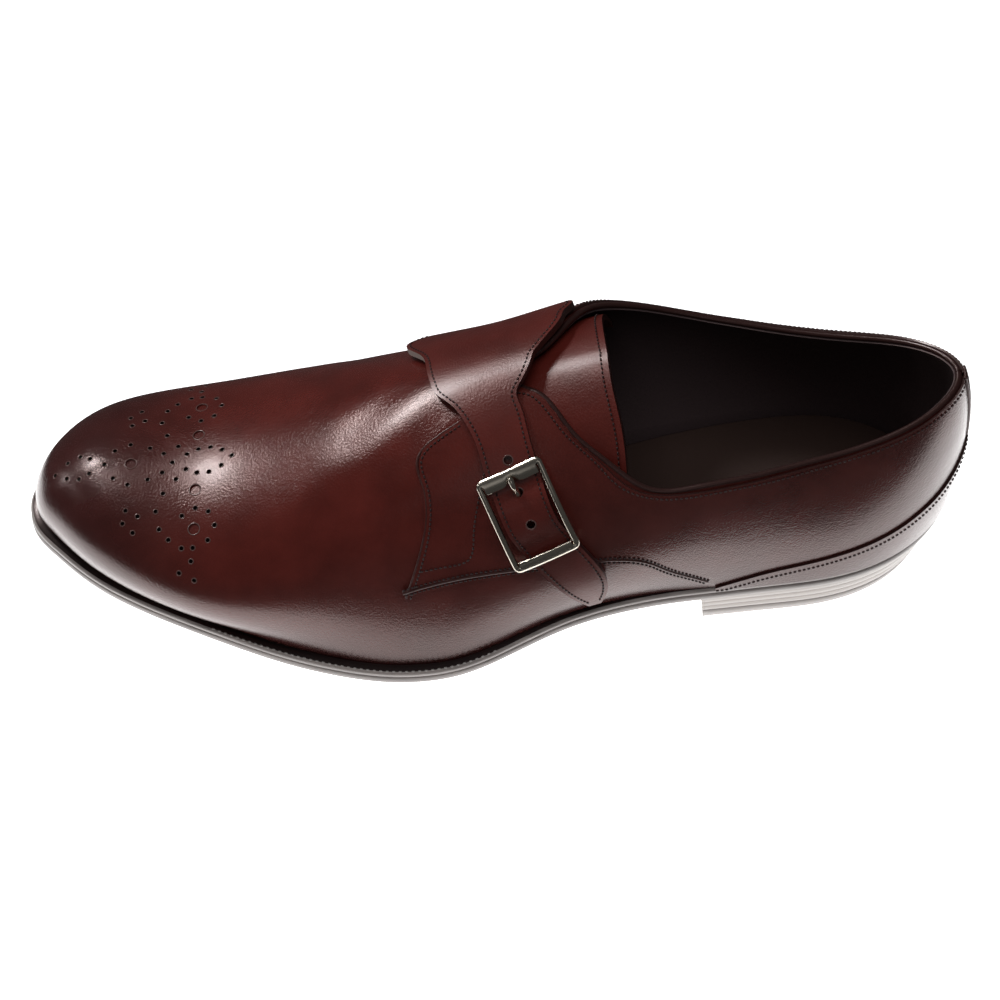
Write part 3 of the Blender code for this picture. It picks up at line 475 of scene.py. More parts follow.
def cloudy_tone(nodes, links, vector):
    """The mesh's painted tone, with the uneven depth of hand-burnished dye."""
    tone = nodes.new("ShaderNodeVertexColor")
    tone.layer_name = "tone"
    spread = nodes.new("ShaderNodeMapRange")
    for socket, value in (("From Min", 0.3), ("From Max", 0.7), ("To Min", 0.76), ("To Max", 1.14)):
        spread.inputs[socket].default_value = value
    mix = nodes.new("ShaderNodeVectorMath")
    mix.operation = "SCALE"
    links.new(noise(nodes, links, vector, 70.0, 5.0), spread.inputs["Value"])
    links.new(tone.outputs["Color"], mix.inputs[0])
    links.new(spread.outputs["Result"], mix.inputs["Scale"])
    return mix.outputs["Vector"]


def leather(name, roughness=0.23, coat=0.20, pore=0.30, colour=None):
    """Polished calf with fine pores; without a colour, the mesh gives its tone."""
    made = plain(name, colour or BURGUNDY, roughness, coat=coat)
    nodes, links = made.node_tree.nodes, made.node_tree.links
    shader = nodes["Principled BSDF"]
    shader.inputs["Coat Roughness"].default_value = 0.20
    shader.inputs["Specular Tint"].default_value = (1.0, 0.76, 0.72, 1.0)
    place = nodes.new("ShaderNodeTexCoord").outputs["Object"]
    if colour is None:
        links.new(cloudy_tone(nodes, links, place), shader.inputs["Base Color"])
    soft = bump(nodes, links, noise(nodes, links, place, 160.0, 2.0), 0.06, 0.0014)
    fine = bump(nodes, links, noise(nodes, links, place, 1500.0, 3.0), pore, 0.0004)
    links.new(soft.outputs["Normal"], fine.inputs["Normal"])
    links.new(fine.outputs["Normal"], shader.inputs["Normal"])
    return made


def layered(name, colour, roughness, scale, contrast):
    """Leather cut edge with fine level layer lines."""
    made = plain(name, colour, roughness, coat=0.2)
    nodes, links = made.node_tree.nodes, made.node_tree.links
    shader = nodes["Principled BSDF"]
    place = nodes.new("ShaderNodeTexCoord").outputs["Object"]
    shift = nodes.new("ShaderNodeMapping")
    shift.inputs["Scale"].default_value = (12.0, 12.0, scale)
    ramp = nodes.new("ShaderNodeValToRGB")
    for end, position, way in zip(ramp.color_ramp.elements, (0.35, 0.68), (-1.0, 1.0)):
        end.position = position
        end.color = (*[tone * (1.0 + way * contrast) for tone in colour], 1.0)
    links.new(place, shift.inputs["Vector"])
    links.new(noise(nodes, links, shift.outputs["Vector"], 1.0, 4.0), ramp.inputs["Fac"])
    links.new(ramp.outputs["Color"], shader.inputs["Base Color"])
    return made


vamp_calf = leather("vamp_calf")
quarter_calf = leather("quarter_calf")
strap_calf = leather("strap_calf", 0.34, 0.25)
tongue_calf = leather("tongue_calf", 0.38, 0.15)
cut_edge = leather("dark_edge", 0.34, 0.3, 0.20, (0.018, 0.0068, 0.0060))
seam_calf = leather("seam_edge", 0.34, 0.3, 0.20, (0.032, 0.0105, 0.0090))
# Paler paint of the burrs round the punched holes: a painted highlight of the glint on their rims
glint_rim_calf = leather("punched_rim_painted_highlight", 0.22, 0.6, 0.05, (0.075, 0.040, 0.036))
# Pale paint for the cut edge of the strap's curled front corner: a painted highlight
corner_highlight_edge = leather("corner_highlight_edge", 0.50, 0.0, 0.20, (0.30, 0.26, 0.235))
lining_calf = leather("black_lining", 0.50, 0.0, 0.10, (0.036, 0.025, 0.026))
thread_dark = plain("dark_thread", (0.020, 0.0085, 0.0080), 0.60)
thread_pale = plain("pale_thread", (0.24, 0.22, 0.21), 0.60)
welt_calf = leather("welt_leather", 0.35, 0.25, 0.06, (0.010, 0.0065, 0.0065))
sole_leather = layered("sole_edge", (0.205, 0.178, 0.168), 0.36, 900.0, 0.22)
heel_leather = layered("heel_edge", (0.270, 0.232, 0.208), 0.38, 1300.0, 0.18)
heel_rubber = layered("heel_top", (0.225, 0.196, 0.180), 0.42, 700.0, 0.12)
insole_leather = leather("insole_leather", 0.55, 0.0, 0.10, (0.020, 0.012, 0.010))
# Near-black paint on the walls and bottoms of the pinholes and strap holes: painted shade inside the
# holes
hole_shade = plain("pinhole_painted_shade", (0.0035, 0.0020, 0.0020), 0.9)
silver = plain("polished_silver", (0.66, 0.60, 0.51), 0.24, 1.0)


def smoothstep(low, high, value):
    """Runs softly from 0 to 1 between two values."""
    t = np.clip((value - low) / (high - low), 0.0, 1.0)
    return t * t * (3.0 - 2.0 * t)


def paint_tone(thing, strength=1.0, base=None):
    """Vertex tone: burnished toe and heel, darker towards the lower edge, redder over the foot."""
    mesh = thing.data
    count = len(mesh.vertices)
    places = np.empty(count * 3)
    mesh.vertices.foreach_get("co", places)
    places = places.reshape(-1, 3)
    station = MIDDLE - places[:, 0]
    above = places[:, 2] - feather_height(np.clip(station, 0.0, LENGTH))
    share = station / LENGTH
    red = smoothstep(0.34, 0.56, share) * (1.0 - smoothstep(0.74, 0.88, share))
    red *= smoothstep(0.006, 0.034, above)
    toe = 0.85 * smoothstep(0.80, 0.93, share)
    # Darker towards the lower edge, within 18 mm above the feather line
    low = 0.80 * (1.0 - smoothstep(0.0, 0.018, above))
    heel = 0.35 * (1.0 - smoothstep(0.05, 0.30, share))
    dark = np.maximum(np.maximum(toe, low), heel) * strength
    colour = np.array(base or BURGUNDY)[None, :] * np.ones((count, 1))
    colour += (np.array(REDDISH) - colour) * (0.85 * red)[:, None]
    colour += (np.array(DARK) - colour) * dark[:, None]
    layer = mesh.color_attributes.new("tone", "FLOAT_COLOR", "POINT")
    layer.data.foreach_set("color", np.concatenate([colour, np.ones((count, 1))], 1).ravel())


def keep(thing, slot, *nodes):
    """Rides the piece on the shoe and hides the nodes it stands for; the slot is not used."""
    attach(thing, "root")
    if nodes:
        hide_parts(*nodes)
    return thing


# Upper: vamp and wall in one, with the lining inside
def topline_climb(angles):
    """How far the wall climbs at each angle: to the collar, or to the ridge."""
    station = station_of(angles)
    lateral, medial = np.array(LATERAL_TOPLINE), np.array(MEDIAL_TOPLINE)
    girth = np.where(angles <= math.pi,
                     -spline(lateral[:, 0] * LENGTH, lateral[:, 1], station),
                     spline(medial[:, 0] * LENGTH, medial[:, 1], station))
    return np.where(station < THROAT * LENGTH, 1.0 - girth, 1.0)


# Creases where the vamp bends. Columns: place and girth of one end, place and
# girth of the other, depth and half width in metres
CREASES = (
    (0.545, -0.12, 0.650, -0.40, 0.00085, 0.0075),
    (0.600, 0.06, 0.640, -0.10, 0.00035, 0.0060),
    (0.660, -0.30, 0.690, -0.55, 0.00040, 0.0070),
    (0.560, 0.30, 0.640, 0.52, 0.00060, 0.0075),
    (0.655, 0.22, 0.685, 0.50, 0.00035, 0.0065),
)
# Length over the leather from a feather line to the ridge, near the creases
GIRTH_LENGTH = 0.085


def creases(angle, climb):
    """Soft troughs where the vamp bends."""
    side = np.where(np.mod(angle, FULL_TURN) > math.pi, 1.0, -1.0)
    place = np.stack([station_of(angle), side * (1.0 - climb) * GIRTH_LENGTH], -1)
    depth = np.zeros_like(angle)
    for place_a, girth_a, place_b, girth_b, deep, wide in CREASES:
        start = np.array([place_a * LENGTH, girth_a * GIRTH_LENGTH])
        run = np.array([place_b * LENGTH, girth_b * GIRTH_LENGTH]) - start
        share = np.clip(((place - start) @ run) / (run @ run), 0.0, 1.0)
        away = np.linalg.norm(place - start - share[..., None] * run, axis=-1)
        depth = depth - deep * np.exp(-(away / wide) ** 2)
    return depth


def make_upper():
    """Vamp and wall with their lining, joined along the ridge over the vamp."""
    half_count, rows = 150, 70
    throat = side_angle(THROAT * LENGTH)
    behind = int(round(half_count * throat / math.pi))
    half = np.concatenate([np.linspace(0.0, throat, behind + 1),
                           np.linspace(throat, math.pi, half_count - behind + 1)[1:]])
    angles = np.concatenate([half, FULL_TURN - half[-2:0:-1]])
    count = len(angles)
    share = np.linspace(0.0, 1.0, rows + 1) ** 0.85
    climb = topline_climb(angles)[:, None] * share[None, :]
    turn = np.repeat(angles[:, None], rows + 1, 1)
    outer = skin(turn, climb, VAMP[0] + creases(turn, climb))
    inner = skin(turn, climb, VAMP[1])
    station = station_of(angles)
    for layer, depth in ((outer, 0.0), (inner, -VAMP[1])):
        layer[:, 0, :2] = sole_plan(edge_point(angles, welt_margin(station) + depth))
        layer[:, 0, 2] = feather_height(station) - 0.0002
    points, lookup = [], {}
    grids = np.zeros((2, count, rows + 1), int)
    for which, layer in enumerate((outer, inner)):
        for j in range(count):
            twin = (count - j) % count
            for k in range(rows + 1):
                at_ridge = k == rows and behind <= min(j, twin)
                if at_ridge and (which, twin) in lookup:
                    grids[which, j, k] = lookup[which, twin]
                    continue
                point = 0.5 * (layer[j, k] + layer[twin, k]) if at_ridge else layer[j, k]
                if at_ridge:
                    lookup[which, j] = len(points)
                grids[which, j, k] = len(points)
                points.append(point)
    grids = grids.tolist()
    faces, picks = [], []
    for which, grid in enumerate(grids):
        for j in range(count):
            here, ahead = grid[j], grid[(j + 1) % count]
            for k in range(rows):
                faces.append(list(dict.fromkeys([here[k], ahead[k], ahead[k + 1], here[k + 1]])))
                picks.append(which)
    for j in range(count):
        i = (j + 1) % count
        at_collar = min(j, count - j) < behind or min(i, (count - i) % count) < behind
        for end in ((0, -1) if at_collar else (0,)):
            faces.append([grids[0][j][end], grids[0][i][end], grids[1][i][end], grids[1][j][end]])
            picks.append(1)
    # The third paint is the near-black painted shade for the walls of the pinholes punched later
    return mesh_from("upper_leather", points, faces, [vamp_calf, lining_calf, hole_shade], 60.0, picks)


upper = make_upper()


# Punched ornament on the toe. Columns: place along the length, distance from
# the middle line as a share of the ball width. Each hole has its mirror twin.
PINHOLES = (
    (0.960, 0.000), (0.946, 0.027), (0.932, 0.039), (0.921, 0.026), (0.905, 0.000),
    (0.895, 0.050), (0.879, 0.074), (0.858, 0.058), (0.843, 0.035), (0.833, 0.000),
    (0.841, 0.108), (0.828, 0.061), (0.818, 0.028), (0.806, 0.044), (0.793, 0.046),
    (0.780, 0.029), (0.769, 0.000), (0.785, 0.224), (0.792, 0.179), (0.806, 0.163),
    (0.820, 0.184), (0.792, 0.265), (0.808, 0.281), (0.820, 0.279), (0.834, 0.252),
    (0.844, 0.220), (0.848, 0.165), (0.867, 0.177), (0.872, 0.223), (0.880, 0.157),
    (0.883, 0.194), (0.810, 0.316), (0.823, 0.340), (0.807, 0.362),
)
BIG_HOLES = ((0.877, 0.000), (0.807, 0.102), (0.807, 0.227))
PINHOLE = 0.00072
BIG_HOLE = 0.0018
PINHOLE_RIM = 0.00018
BIG_HOLE_RIM = 0.00022


def hole_places():
    """Where each hole lies on the toe: (point, direction out, radius)."""
    bpy.context.view_layer.update()
    places = []
    for table, radius in ((PINHOLES, PINHOLE), (BIG_HOLES, BIG_HOLE)):
        for along, aside in table:
            for side in ((-1.0, 1.0) if aside > 0.0 else (1.0,)):
                start = Vector((MIDDLE - along * LENGTH, side * aside * BALL_WIDTH - SIDE_MIDDLE, 0.2))
                hit, point, out, _ = upper.ray_cast(start, Vector((0.0, 0.0, -1.0)))
                if hit:
                    places.append((point, out, radius))
    return places


def make_rims(places, name):
    """Burrs that the punch leaves round the holes, painted paler than the leather: a painted highlight
    of their glint.
    """
    data = bmesh.new()
    around, section = 20, 6
    for point, out, radius in places:
        turn = out.to_track_quat("Z", "Y")
        thick = PINHOLE_RIM if radius == PINHOLE else BIG_HOLE_RIM
        rings = []
        for a in range(around):
            angle = FULL_TURN * a / around
            rings.append([])
            for b in range(section):
                tilt = FULL_TURN * b / section
                reach = radius + 0.6 * thick + thick * math.cos(tilt)
                rise = 0.45 * thick * math.sin(tilt)
                local = Vector((reach * math.cos(angle), reach * math.sin(angle), rise))
                rings[-1].append(data.verts.new(point + turn @ local))
        for here, ahead in zip(rings, rings[1:] + rings[:1]):
            for b in range(section):
                c = (b + 1) % section
                data.faces.new((here[b], ahead[b], ahead[c], here[c]))
    rims = new_object(name, smooth_mesh(name, data), [glint_rim_calf])
    paint_tone(rims)
    return rims


holes = hole_places()
# Pinholes take the near-black paint, a painted shade in their recesses; big holes keep the vamp's
# leather
for size, depth, sides, paint in ((PINHOLE, 0.0010, 16, hole_shade), (BIG_HOLE, 0.0005, 28, vamp_calf)):
    punch(upper, [(point - out * depth, point + out * 0.002, radius)
                  for point, out, radius in holes if radius == size], sides, paint)
keep(make_rims(holes, "ornament_rims"), "upper")


def patch(name, turn, climb, layer, paint, edge=0.0004, strength=1.0, base=None):
    """Piece of leather over a grid of the skin, with cut and rounded edges."""
    top, bottom = layer
    points, faces, picks = slab(skin(turn, climb, top), skin(turn, climb, bottom))
    made = mesh_from(name, points, faces, [paint, cut_edge], 50.0, picks)
    round_edges(made, edge)
    paint_tone(made, strength, base)
    return made


def make_quarter(name, front, foot, head):
    """Quarter between its front, foot and head edges, closed at the back seam."""
    rows, columns = 60, 240
    edges = []
    for table, count in ((front, rows), (foot, columns), (head, columns)):
        turned = [(max(side_angle(place * LENGTH), 0.02), girth) for place, girth in table]
        edges.append(edge_curve(turned, count))
    front_curve, foot_curve, head_curve = edges
    back_curve = np.linspace(foot_curve[-1], head_curve[-1], rows)
    across = np.linspace(0.0, 1.0, columns)[None, :, None]
    up = np.linspace(0.0, 1.0, rows)[:, None, None]
    sides = front_curve[:, None] * (1.0 - across) + back_curve[:, None] * across
    ends = foot_curve[None] * (1.0 - up) + head_curve[None] * up
    corners = (front_curve[0] * (1.0 - across) + back_curve[0] * across) * (1.0 - up)
    corners = corners + (front_curve[-1] * (1.0 - across) + back_curve[-1] * across) * up
    grid = sides + ends - corners
    turn = np.where(grid[..., 1] > 0.0, FULL_TURN - grid[..., 0], grid[..., 0])
    return patch(name, turn, 1.0 - np.abs(grid[..., 1]), QUARTER, quarter_calf)


for side, edges in (("lateral", (LATERAL_FRONT, LATERAL_FOOT, LATERAL_HEAD)),
                    ("medial", (MEDIAL_FRONT, MEDIAL_FOOT, MEDIAL_HEAD))):
    keep(make_quarter(f"{side}_quarter_leather", *edges), f"{side}_quarter", f"{side}_quarter")


def counter_edge(count):
    """Angles across the counter and how far it climbs at each."""
    head = np.array(COUNTER_HEAD)
    limit = side_angle(head[-1, 0] * LENGTH)
    angles = np.linspace(-limit, limit, count)
    return angles, spline(head[:, 0] * LENGTH, head[:, 1], station_of(angles))


def make_counter():
    """Low cup round the heel, from the feather line to the counter's edge."""
    rows = 14
    angles, edge = counter_edge(200)
    climb = COUNTER_FOOT + (edge[None, :] - COUNTER_FOOT) * np.linspace(0.0, 1.0, rows)[:, None]
    turn = np.repeat(angles[None, :], rows, 0)
    return patch("counter_leather", turn, climb, COUNTER, quarter_calf)


def make_backstay():
    """Narrow strip up the back seam, from the counter to the collar."""
    rows = 30
    climb = np.linspace(COUNTER_HEAD[0][1] - 0.01, 0.508, rows)[:, None]
    turn = np.linspace(-0.085, 0.085, 9)[None, :] * np.linspace(1.0, 0.75, rows)[:, None]
    return patch("backstay_leather", turn, climb, BACKSTAY, quarter_calf)


keep(make_counter(), "counter", "counter")
keep(make_backstay(), "backstay", "backstay")


def make_tongue():
    """Tongue under the strap, from its root on the vamp to its free head."""
    rows, columns = 60, 70
    head = edge_curve(TONGUE_HEAD, columns)
    root = edge_curve(TONGUE_ROOT, columns)
    share = np.linspace(0.0, 1.0, rows)[:, None, None]
    grid = root[None] * (1.0 - share) + head[None] * share
    turn = angle_of(grid[..., 0] * LENGTH, grid[..., 1])
    climb = 1.0 - np.abs(grid[..., 1])
    return patch("tongue_leather", turn, climb, TONGUE, tongue_calf, 0.0005, 0.3, REDDISH)


keep(make_tongue(), "tongue", "tongue")


# Strap with its flap, arched over the buckle's centre bar. Its paints are
# told apart by index: face, cut edge, painted shade in the holes, painted highlight on the corner
HIGHLIT_CORNER = 3
STRAP_MARGIN = 0.0014


def strap_row(girth):
    """Middle of the strap at a girth, and its half widths fore and aft."""
    table = np.array(STRAP)[::-1]
    read = [spline(table[:, 0], table[:, k], girth) for k in (1, 2, 3)]
    return read[0] * LENGTH, read[1] * STRAP_WIDTH, read[2] * STRAP_WIDTH


def buckle_axes():
    """Directions along the strap, across it and out of it, at the buckle."""
    ends = [on_skin(strap_row(girth)[0], girth) for girth in (BUCKLE_GIRTH - 0.05, BUCKLE_GIRTH + 0.05)]
    place = strap_row(BUCKLE_GIRTH)[0]
    out = on_skin(place, BUCKLE_GIRTH, 0.001) - on_skin(place, BUCKLE_GIRTH)
    out /= np.linalg.norm(out)
    along = ends[1] - ends[0]
    along -= out * (along @ out)
    along /= np.linalg.norm(along)
    return along, np.cross(out, along), out


def skin_slopes():
    """How the run along and across the buckle changes with station and girth."""
    along, across, _ = buckle_axes()
    place = strap_row(BUCKLE_GIRTH)[0]
    changes = []
    for by_station, by_girth in ((0.002, 0.0), (0.0, 0.02)):
        ahead = on_skin(place + by_station, BUCKLE_GIRTH + by_girth)
        behind = on_skin(place - by_station, BUCKLE_GIRTH - by_girth)
        changes.append((ahead - behind) / (2.0 * (by_station + by_girth)))
    return np.array([[change @ axis for change in changes] for axis in (along, across)])


SLOPES = skin_slopes()
BUCKLE_PLACE = strap_row(BUCKLE_GIRTH)[0]


def buckle_run(station, girth):
    """Distance along the strap from the buckle's middle."""
    return SLOPES[0, 0] * (station - BUCKLE_PLACE) + SLOPES[0, 1] * (girth - BUCKLE_GIRTH)


def strap_lift(station, girth):
    """Height of the strap's underside: it arches over the buckle's bar."""
    run = np.abs(buckle_run(station, girth)) / (0.88 * (0.5 * BUCKLE_LENGTH - TOP_BAR))
    return STRAP_REST + BAR_ARCH * np.clip(1.0 - run ** 3, 0.0, None) ** 1.5


def paint_corner_highlight(strap):
    """Pale paint on the cut edge of the flap's curled front corner: a painted highlight."""
    for polygon in strap.data.polygons:
        place = polygon.center
        in_corner = MIDDLE - place.x > 0.545 * LENGTH and place.y > 0.20 * BALL_WIDTH
        if polygon.material_index == 1 and in_corner:
            polygon.material_index = HIGHLIT_CORNER


def hole_girths():
    """Girths of the strap's holes: the prong's own and one on each side."""
    girths = np.linspace(BUCKLE_GIRTH - 0.3, BUCKLE_GIRTH + 0.3, 121)
    runs = buckle_run(strap_row(girths)[0], girths)
    prong_run = PRONG_SHARE * (0.5 * BUCKLE_LENGTH - TOP_BAR)
    return [float(np.interp(prong_run + step * HOLE_PITCH, runs, girths)) for step in (1, 0, -1)]


HOLE_GIRTHS = hole_girths()


def make_strap():
    """Strap with its flap: a slab over the skin with its holes punched."""
    rows = np.linspace(STRAP[0][0], STRAP[-1][0], 220)
    middle, fore, aft = strap_row(rows)
    share = np.linspace(-1.0, 1.0, 41)[None, :]
    station = middle[:, None] + np.where(share > 0.0, fore[:, None], aft[:, None]) * share
    girth = rows[:, None]
    low = strap_lift(station, girth)
    points, faces, picks = slab(on_skin(station, girth, low + STRAP_THICK), on_skin(station, girth, low))
    # Paints: face, cut edge, painted shade of the holes, painted highlight of the corner
    paints = [strap_calf, cut_edge, hole_shade, corner_highlight_edge]
    strap = mesh_from("strap_leather", points, faces, paints, 50.0, picks)
    # Painted highlight: pale paint on the cut edge of the curled front corner
    paint_corner_highlight(strap)
    cutters = []
    for girth in HOLE_GIRTHS:
        place = strap_row(girth)[0]
        lift = strap_lift(place, girth)
        ends = [on_skin(place, girth, lift + way) for way in (-0.002, 0.005)]
        cutters.append((*ends, 0.5 * STRAP_HOLE))
    # The holes' walls take the near-black paint: painted shade inside them
    punch(strap, cutters, 24, hole_shade)
    return strap


def strap_rims():
    """Places of the strap's holes on its upper face."""
    places = []
    for girth in HOLE_GIRTHS:
        place = strap_row(girth)[0]
        lift = strap_lift(place, girth) + STRAP_THICK
        centre = Vector(on_skin(place, girth, lift))
        out = Vector(on_skin(place, girth, lift + 0.001)) - centre
        places.append((centre, out.normalized(), 0.5 * STRAP_HOLE))
    return places


strap = keep(make_strap(), "strap", "strap")
keep(make_rims(strap_rims(), "strap_hole_rims"), "strap")
round_edges(strap, 0.0006)
paint_tone(strap, 0.5, REDDISH)
paint_tone(upper)
keep(upper, "upper", "upper")


# Stitches
def stitches(name, points, pitch=STITCH_PITCH, size=STITCH_SIZE, paint=thread_dark, fill=0.66):
    """Row of short raised stitches along a line of points on the leather."""
    lengths = np.concatenate([[0.0], np.cumsum(np.linalg.norm(np.diff(points, axis=0), axis=1))])
    count = max(2, int(lengths[-1] / pitch))
    sides = 6
    data = bmesh.new()
    for index in range(count):
        middle = (index + 0.5) * lengths[-1] / count
        start, end = (Vector([np.interp(middle + way * fill * pitch, lengths, values)
                              for values in points.T]) for way in (-0.5, 0.5))
        axis = end - start
        turn = axis.to_track_quat("Z", "Y")
        rings = []
        for share, wide in ((0.0, 0.35), (0.18, 1.0), (0.82, 1.0), (1.0, 0.35)):
            rings.append([])
            for k in range(sides):
                angle = FULL_TURN * k / sides
                local = Vector((size * wide * math.cos(angle), size * wide * math.sin(angle), 0.0))
                rings[-1].append(data.verts.new(start + axis * share + turn @ local))
        for here, ahead in zip(rings, rings[1:]):
            for k in range(sides):
                j = (k + 1) % sides
                data.faces.new((here[k], here[j], ahead[j], ahead[k]))
        data.faces.new(rings[0][::-1])
        data.faces.new(rings[-1])
    return new_object(name, smooth_mesh(name, data), [paint])


def line_on_skin(rows, lift, count=160, inward=0.0):
    """Points of a line given as (place, girth) rows, moved sideways over the skin."""
    places, girths = edge_curve(rows, count).T
    points = on_skin(places * LENGTH, girths, lift)
    if inward == 0.0:
        return points
    out = on_skin(places * LENGTH, girths, lift + 0.001) - points
    out /= np.linalg.norm(out, axis=1)[:, None]
    along = np.gradient(points, axis=0)
    aside = np.cross(out, along)
    aside /= np.linalg.norm(aside, axis=1)[:, None]
    return points + aside * inward


def rib(name, line, radius, paint, slot):
    """Round raised cord under the leather, along a line of points."""
    curve = bpy.data.curves.new(name, "CURVE")
    curve.dimensions = "3D"
    curve.bevel_depth = radius
    curve.bevel_resolution = 3
    curve.use_fill_caps = True
    path = curve.splines.new("POLY")
    path.points.add(len(line) - 1)
    for point, place in zip(path.points, line):
        point.co = (*place, 1.0)
    curve.materials.append(paint)
    made = bpy.data.objects.new(name, curve)
    bpy.context.scene.collection.objects.link(made)
    return keep(made, slot)


def seam(name, rows, lift, inward=0.0, slot="upper"):
    """Stitch row beside an edge of a piece of leather."""
    keep(stitches(name, line_on_skin(rows, lift, 200, inward)), slot)


QUARTER_TOP = QUARTER[0] + 0.00008
LATERAL_PANEL = ((0.571, -0.650), (0.545, -0.637), (0.524, -0.627), (0.515, -0.600), (0.513, -0.540),
                 (0.509, -0.450), (0.500, -0.330))
MEDIAL_PANEL = ((0.554, 0.690), (0.530, 0.708), (0.508, 0.722), (0.500, 0.690), (0.489, 0.545),
                (0.463, 0.527), (0.411, 0.510), (0.392, 0.519))
# Columns: side, its sign, the quarter's front, its free foot, the stitched
# panel in front of it, and the part of its head along the collar
SIDES = (
    ("lateral", 1.0, LATERAL_FRONT, LATERAL_FOOT[:7], LATERAL_PANEL, LATERAL_HEAD[1:]),
    ("medial", -1.0, MEDIAL_FRONT, MEDIAL_FOOT[:6], MEDIAL_PANEL, MEDIAL_HEAD[5:]),
)
for side, way, front, foot, panel, head in SIDES:
    seam(f"{side}_front_stitch", front, QUARTER_TOP, -0.0016 * way)
    for row, inward in enumerate((0.0009, 0.0031)):
        seam(f"{side}_foot_stitch_{row}", foot, QUARTER_TOP, inward * way)
    seam(f"{side}_panel_stitch", panel, QUARTER_TOP)
    seam(f"{side}_collar_stitch", head, QUARTER_TOP, -0.0010 * way)
    foot_line = line_on_skin(foot, QUARTER_TOP - 0.0003, 160, 0.0020 * way)
    rib(f"{side}_foot_rib", foot_line, 0.00060, seam_calf, "upper")
front_line = line_on_skin(LATERAL_FRONT, QUARTER_TOP - 0.0004, 60, -0.0002)
rib("lateral_front_rib", front_line, 0.00040, seam_calf, "upper")
seam("tongue_stitch", TONGUE_HEAD, TONGUE[0] + 0.0002, 0.0022, "tongue")


def strap_stitch():
    """A stitch row along each edge of the strap."""
    rows = np.linspace(0.415, STRAP[-1][0] + 0.018, 260)
    middle, fore, aft = strap_row(rows)
    for index, reach in enumerate((fore - STRAP_MARGIN, STRAP_MARGIN - aft)):
        station = middle + reach
        lift = strap_lift(station, rows) + STRAP_THICK + STITCH_RISE
        keep(stitches(f"strap_stitch_{index}", on_skin(station, rows, lift)), "strap")


strap_stitch()


angles, edge = counter_edge(400)
counter_line = skin(angles, np.maximum(edge - 0.022, COUNTER_FOOT), COUNTER[0] + STITCH_RISE)
keep(stitches("counter_stitch", counter_line), "counter")


def collar_bead():
    """Rolled edge of the collar, over wall and lining."""
    for name, table, sign in (("lateral", LATERAL_TOPLINE, -1.0), ("medial", MEDIAL_TOPLINE, 1.0)):
        rows = np.array(table)
        turns = np.linspace(0.0, side_angle(THROAT * LENGTH), 220)
        girth = spline(rows[:, 0] * LENGTH, rows[:, 1], station_of(turns))
        angles = turns if sign < 0.0 else FULL_TURN - turns
        line = skin(angles, 1.0 - np.abs(girth), COLLAR_LIFT)
        rib(f"{name}_collar_edge", line, COLLAR_RADIUS, cut_edge, "upper")


collar_bead()


# Sole, welt and heel
def ring_points(angles, inset, height):
    """Points over the sole's outline, moved inward by the inset."""
    plan = sole_plan(edge_point(angles, inset))
    return np.concatenate([plan, height[:, None]], 1)


def welt_stitch():
    """Pale stitches on top of the welt, at both sides of the ball."""
    turns = np.linspace(side_angle(0.49 * LENGTH), side_angle(0.80 * LENGTH), 400)
    for name, angles in (("lateral", turns), ("medial", FULL_TURN - turns)):
        height = sole_height(station_of(angles)) + OUTSOLE_THICK + 0.0023
        line = ring_points(angles, 0.0012, height)
        keep(stitches(f"{name}_welt_stitch", line, 0.0021, 0.00034, thread_pale, 0.5), "welt")


welt_stitch()


def quad_rows(rings, joined):
    """Faces between rings of points, with the last joined to the first or not."""
    count, total = len(rings[0]), len(rings)
    faces = []
    for a in range(total if joined else total - 1):
        b = (a + 1) % total
        for j in range(count):
            k = (j + 1) % count
            faces.append([a * count + j, a * count + k, b * count + k, b * count + j])
    return faces


def bands(name, rings, paints, close_ends, smooth=40.0, edge_bands=()):
    """Mesh from rings in order, its ends closed by strips across or joined."""
    count = len(rings[0])
    points = np.concatenate(rings)
    faces = quad_rows(rings, not close_ends)
    picks = [1 if index // count in edge_bands else 0 for index in range(len(faces))]
    if close_ends:
        for base in (0, (len(rings) - 1) * count):
            for j in range((count - 1) // 2 + 1):
                corners = [base + j, base + j + 1, base + (count - j - 1) % count, base + (-j) % count]
                corners = list(dict.fromkeys(corners))
                if len(corners) > 2:
                    faces.append(corners)
                    picks.append(0)
    return mesh_from(name, points, faces, paints, smooth, picks)


def make_sole():
    """Sole with rounded edges. Its rings run from underneath to the welt."""
    angles = FULL_TURN * np.arange(400) / 400
    base = sole_height(station_of(angles))
    profile = ((0.0014, 0.0), (0.0004, 0.0005), (0.0, 0.0014), (0.0, 0.0026), (0.0003, 0.0035),
               (0.0010, 0.0041))
    rings = [ring_points(angles, inset, base + rise) for inset, rise in profile]
    return bands("sole_leather", rings, [sole_leather], True, 60.0)


def make_welt():
    """Welt as a ring: dark on top, with the sole's tone on its outer side."""
    angles = FULL_TURN * np.arange(400) / 400
    station = station_of(angles)
    base = sole_height(station) + OUTSOLE_THICK
    margin = welt_margin(station)
    inner = margin + 0.0030
    profile = ((inner, 0.0), (inner, 0.0024), (margin * 0.9, 0.0022), (0.0012, 0.0023),
               (0.0004, 0.0016), (0.0003, 0.0004), (0.0007, 0.0))
    rings = [ring_points(angles, inset, base + rise) for inset, rise in profile]
    return bands("welt_strip", rings, [welt_calf, sole_leather], False, 60.0, (3, 4, 5))


def heel_ring(angles, share, height, inset=0.0):
    """Ring of the heel: share is its taper, from 0 at the sole to 1 below."""
    plan = sole_plan(edge_point(angles, HEEL_TAPER * share + 0.0009 + inset))
    limit = MIDDLE - BREAST * LENGTH + 0.5 * HEEL_TAPER * share
    plan[:, 0] = np.maximum(plan[:, 0], limit + inset)
    return np.concatenate([plan, height[:, None]], 1)


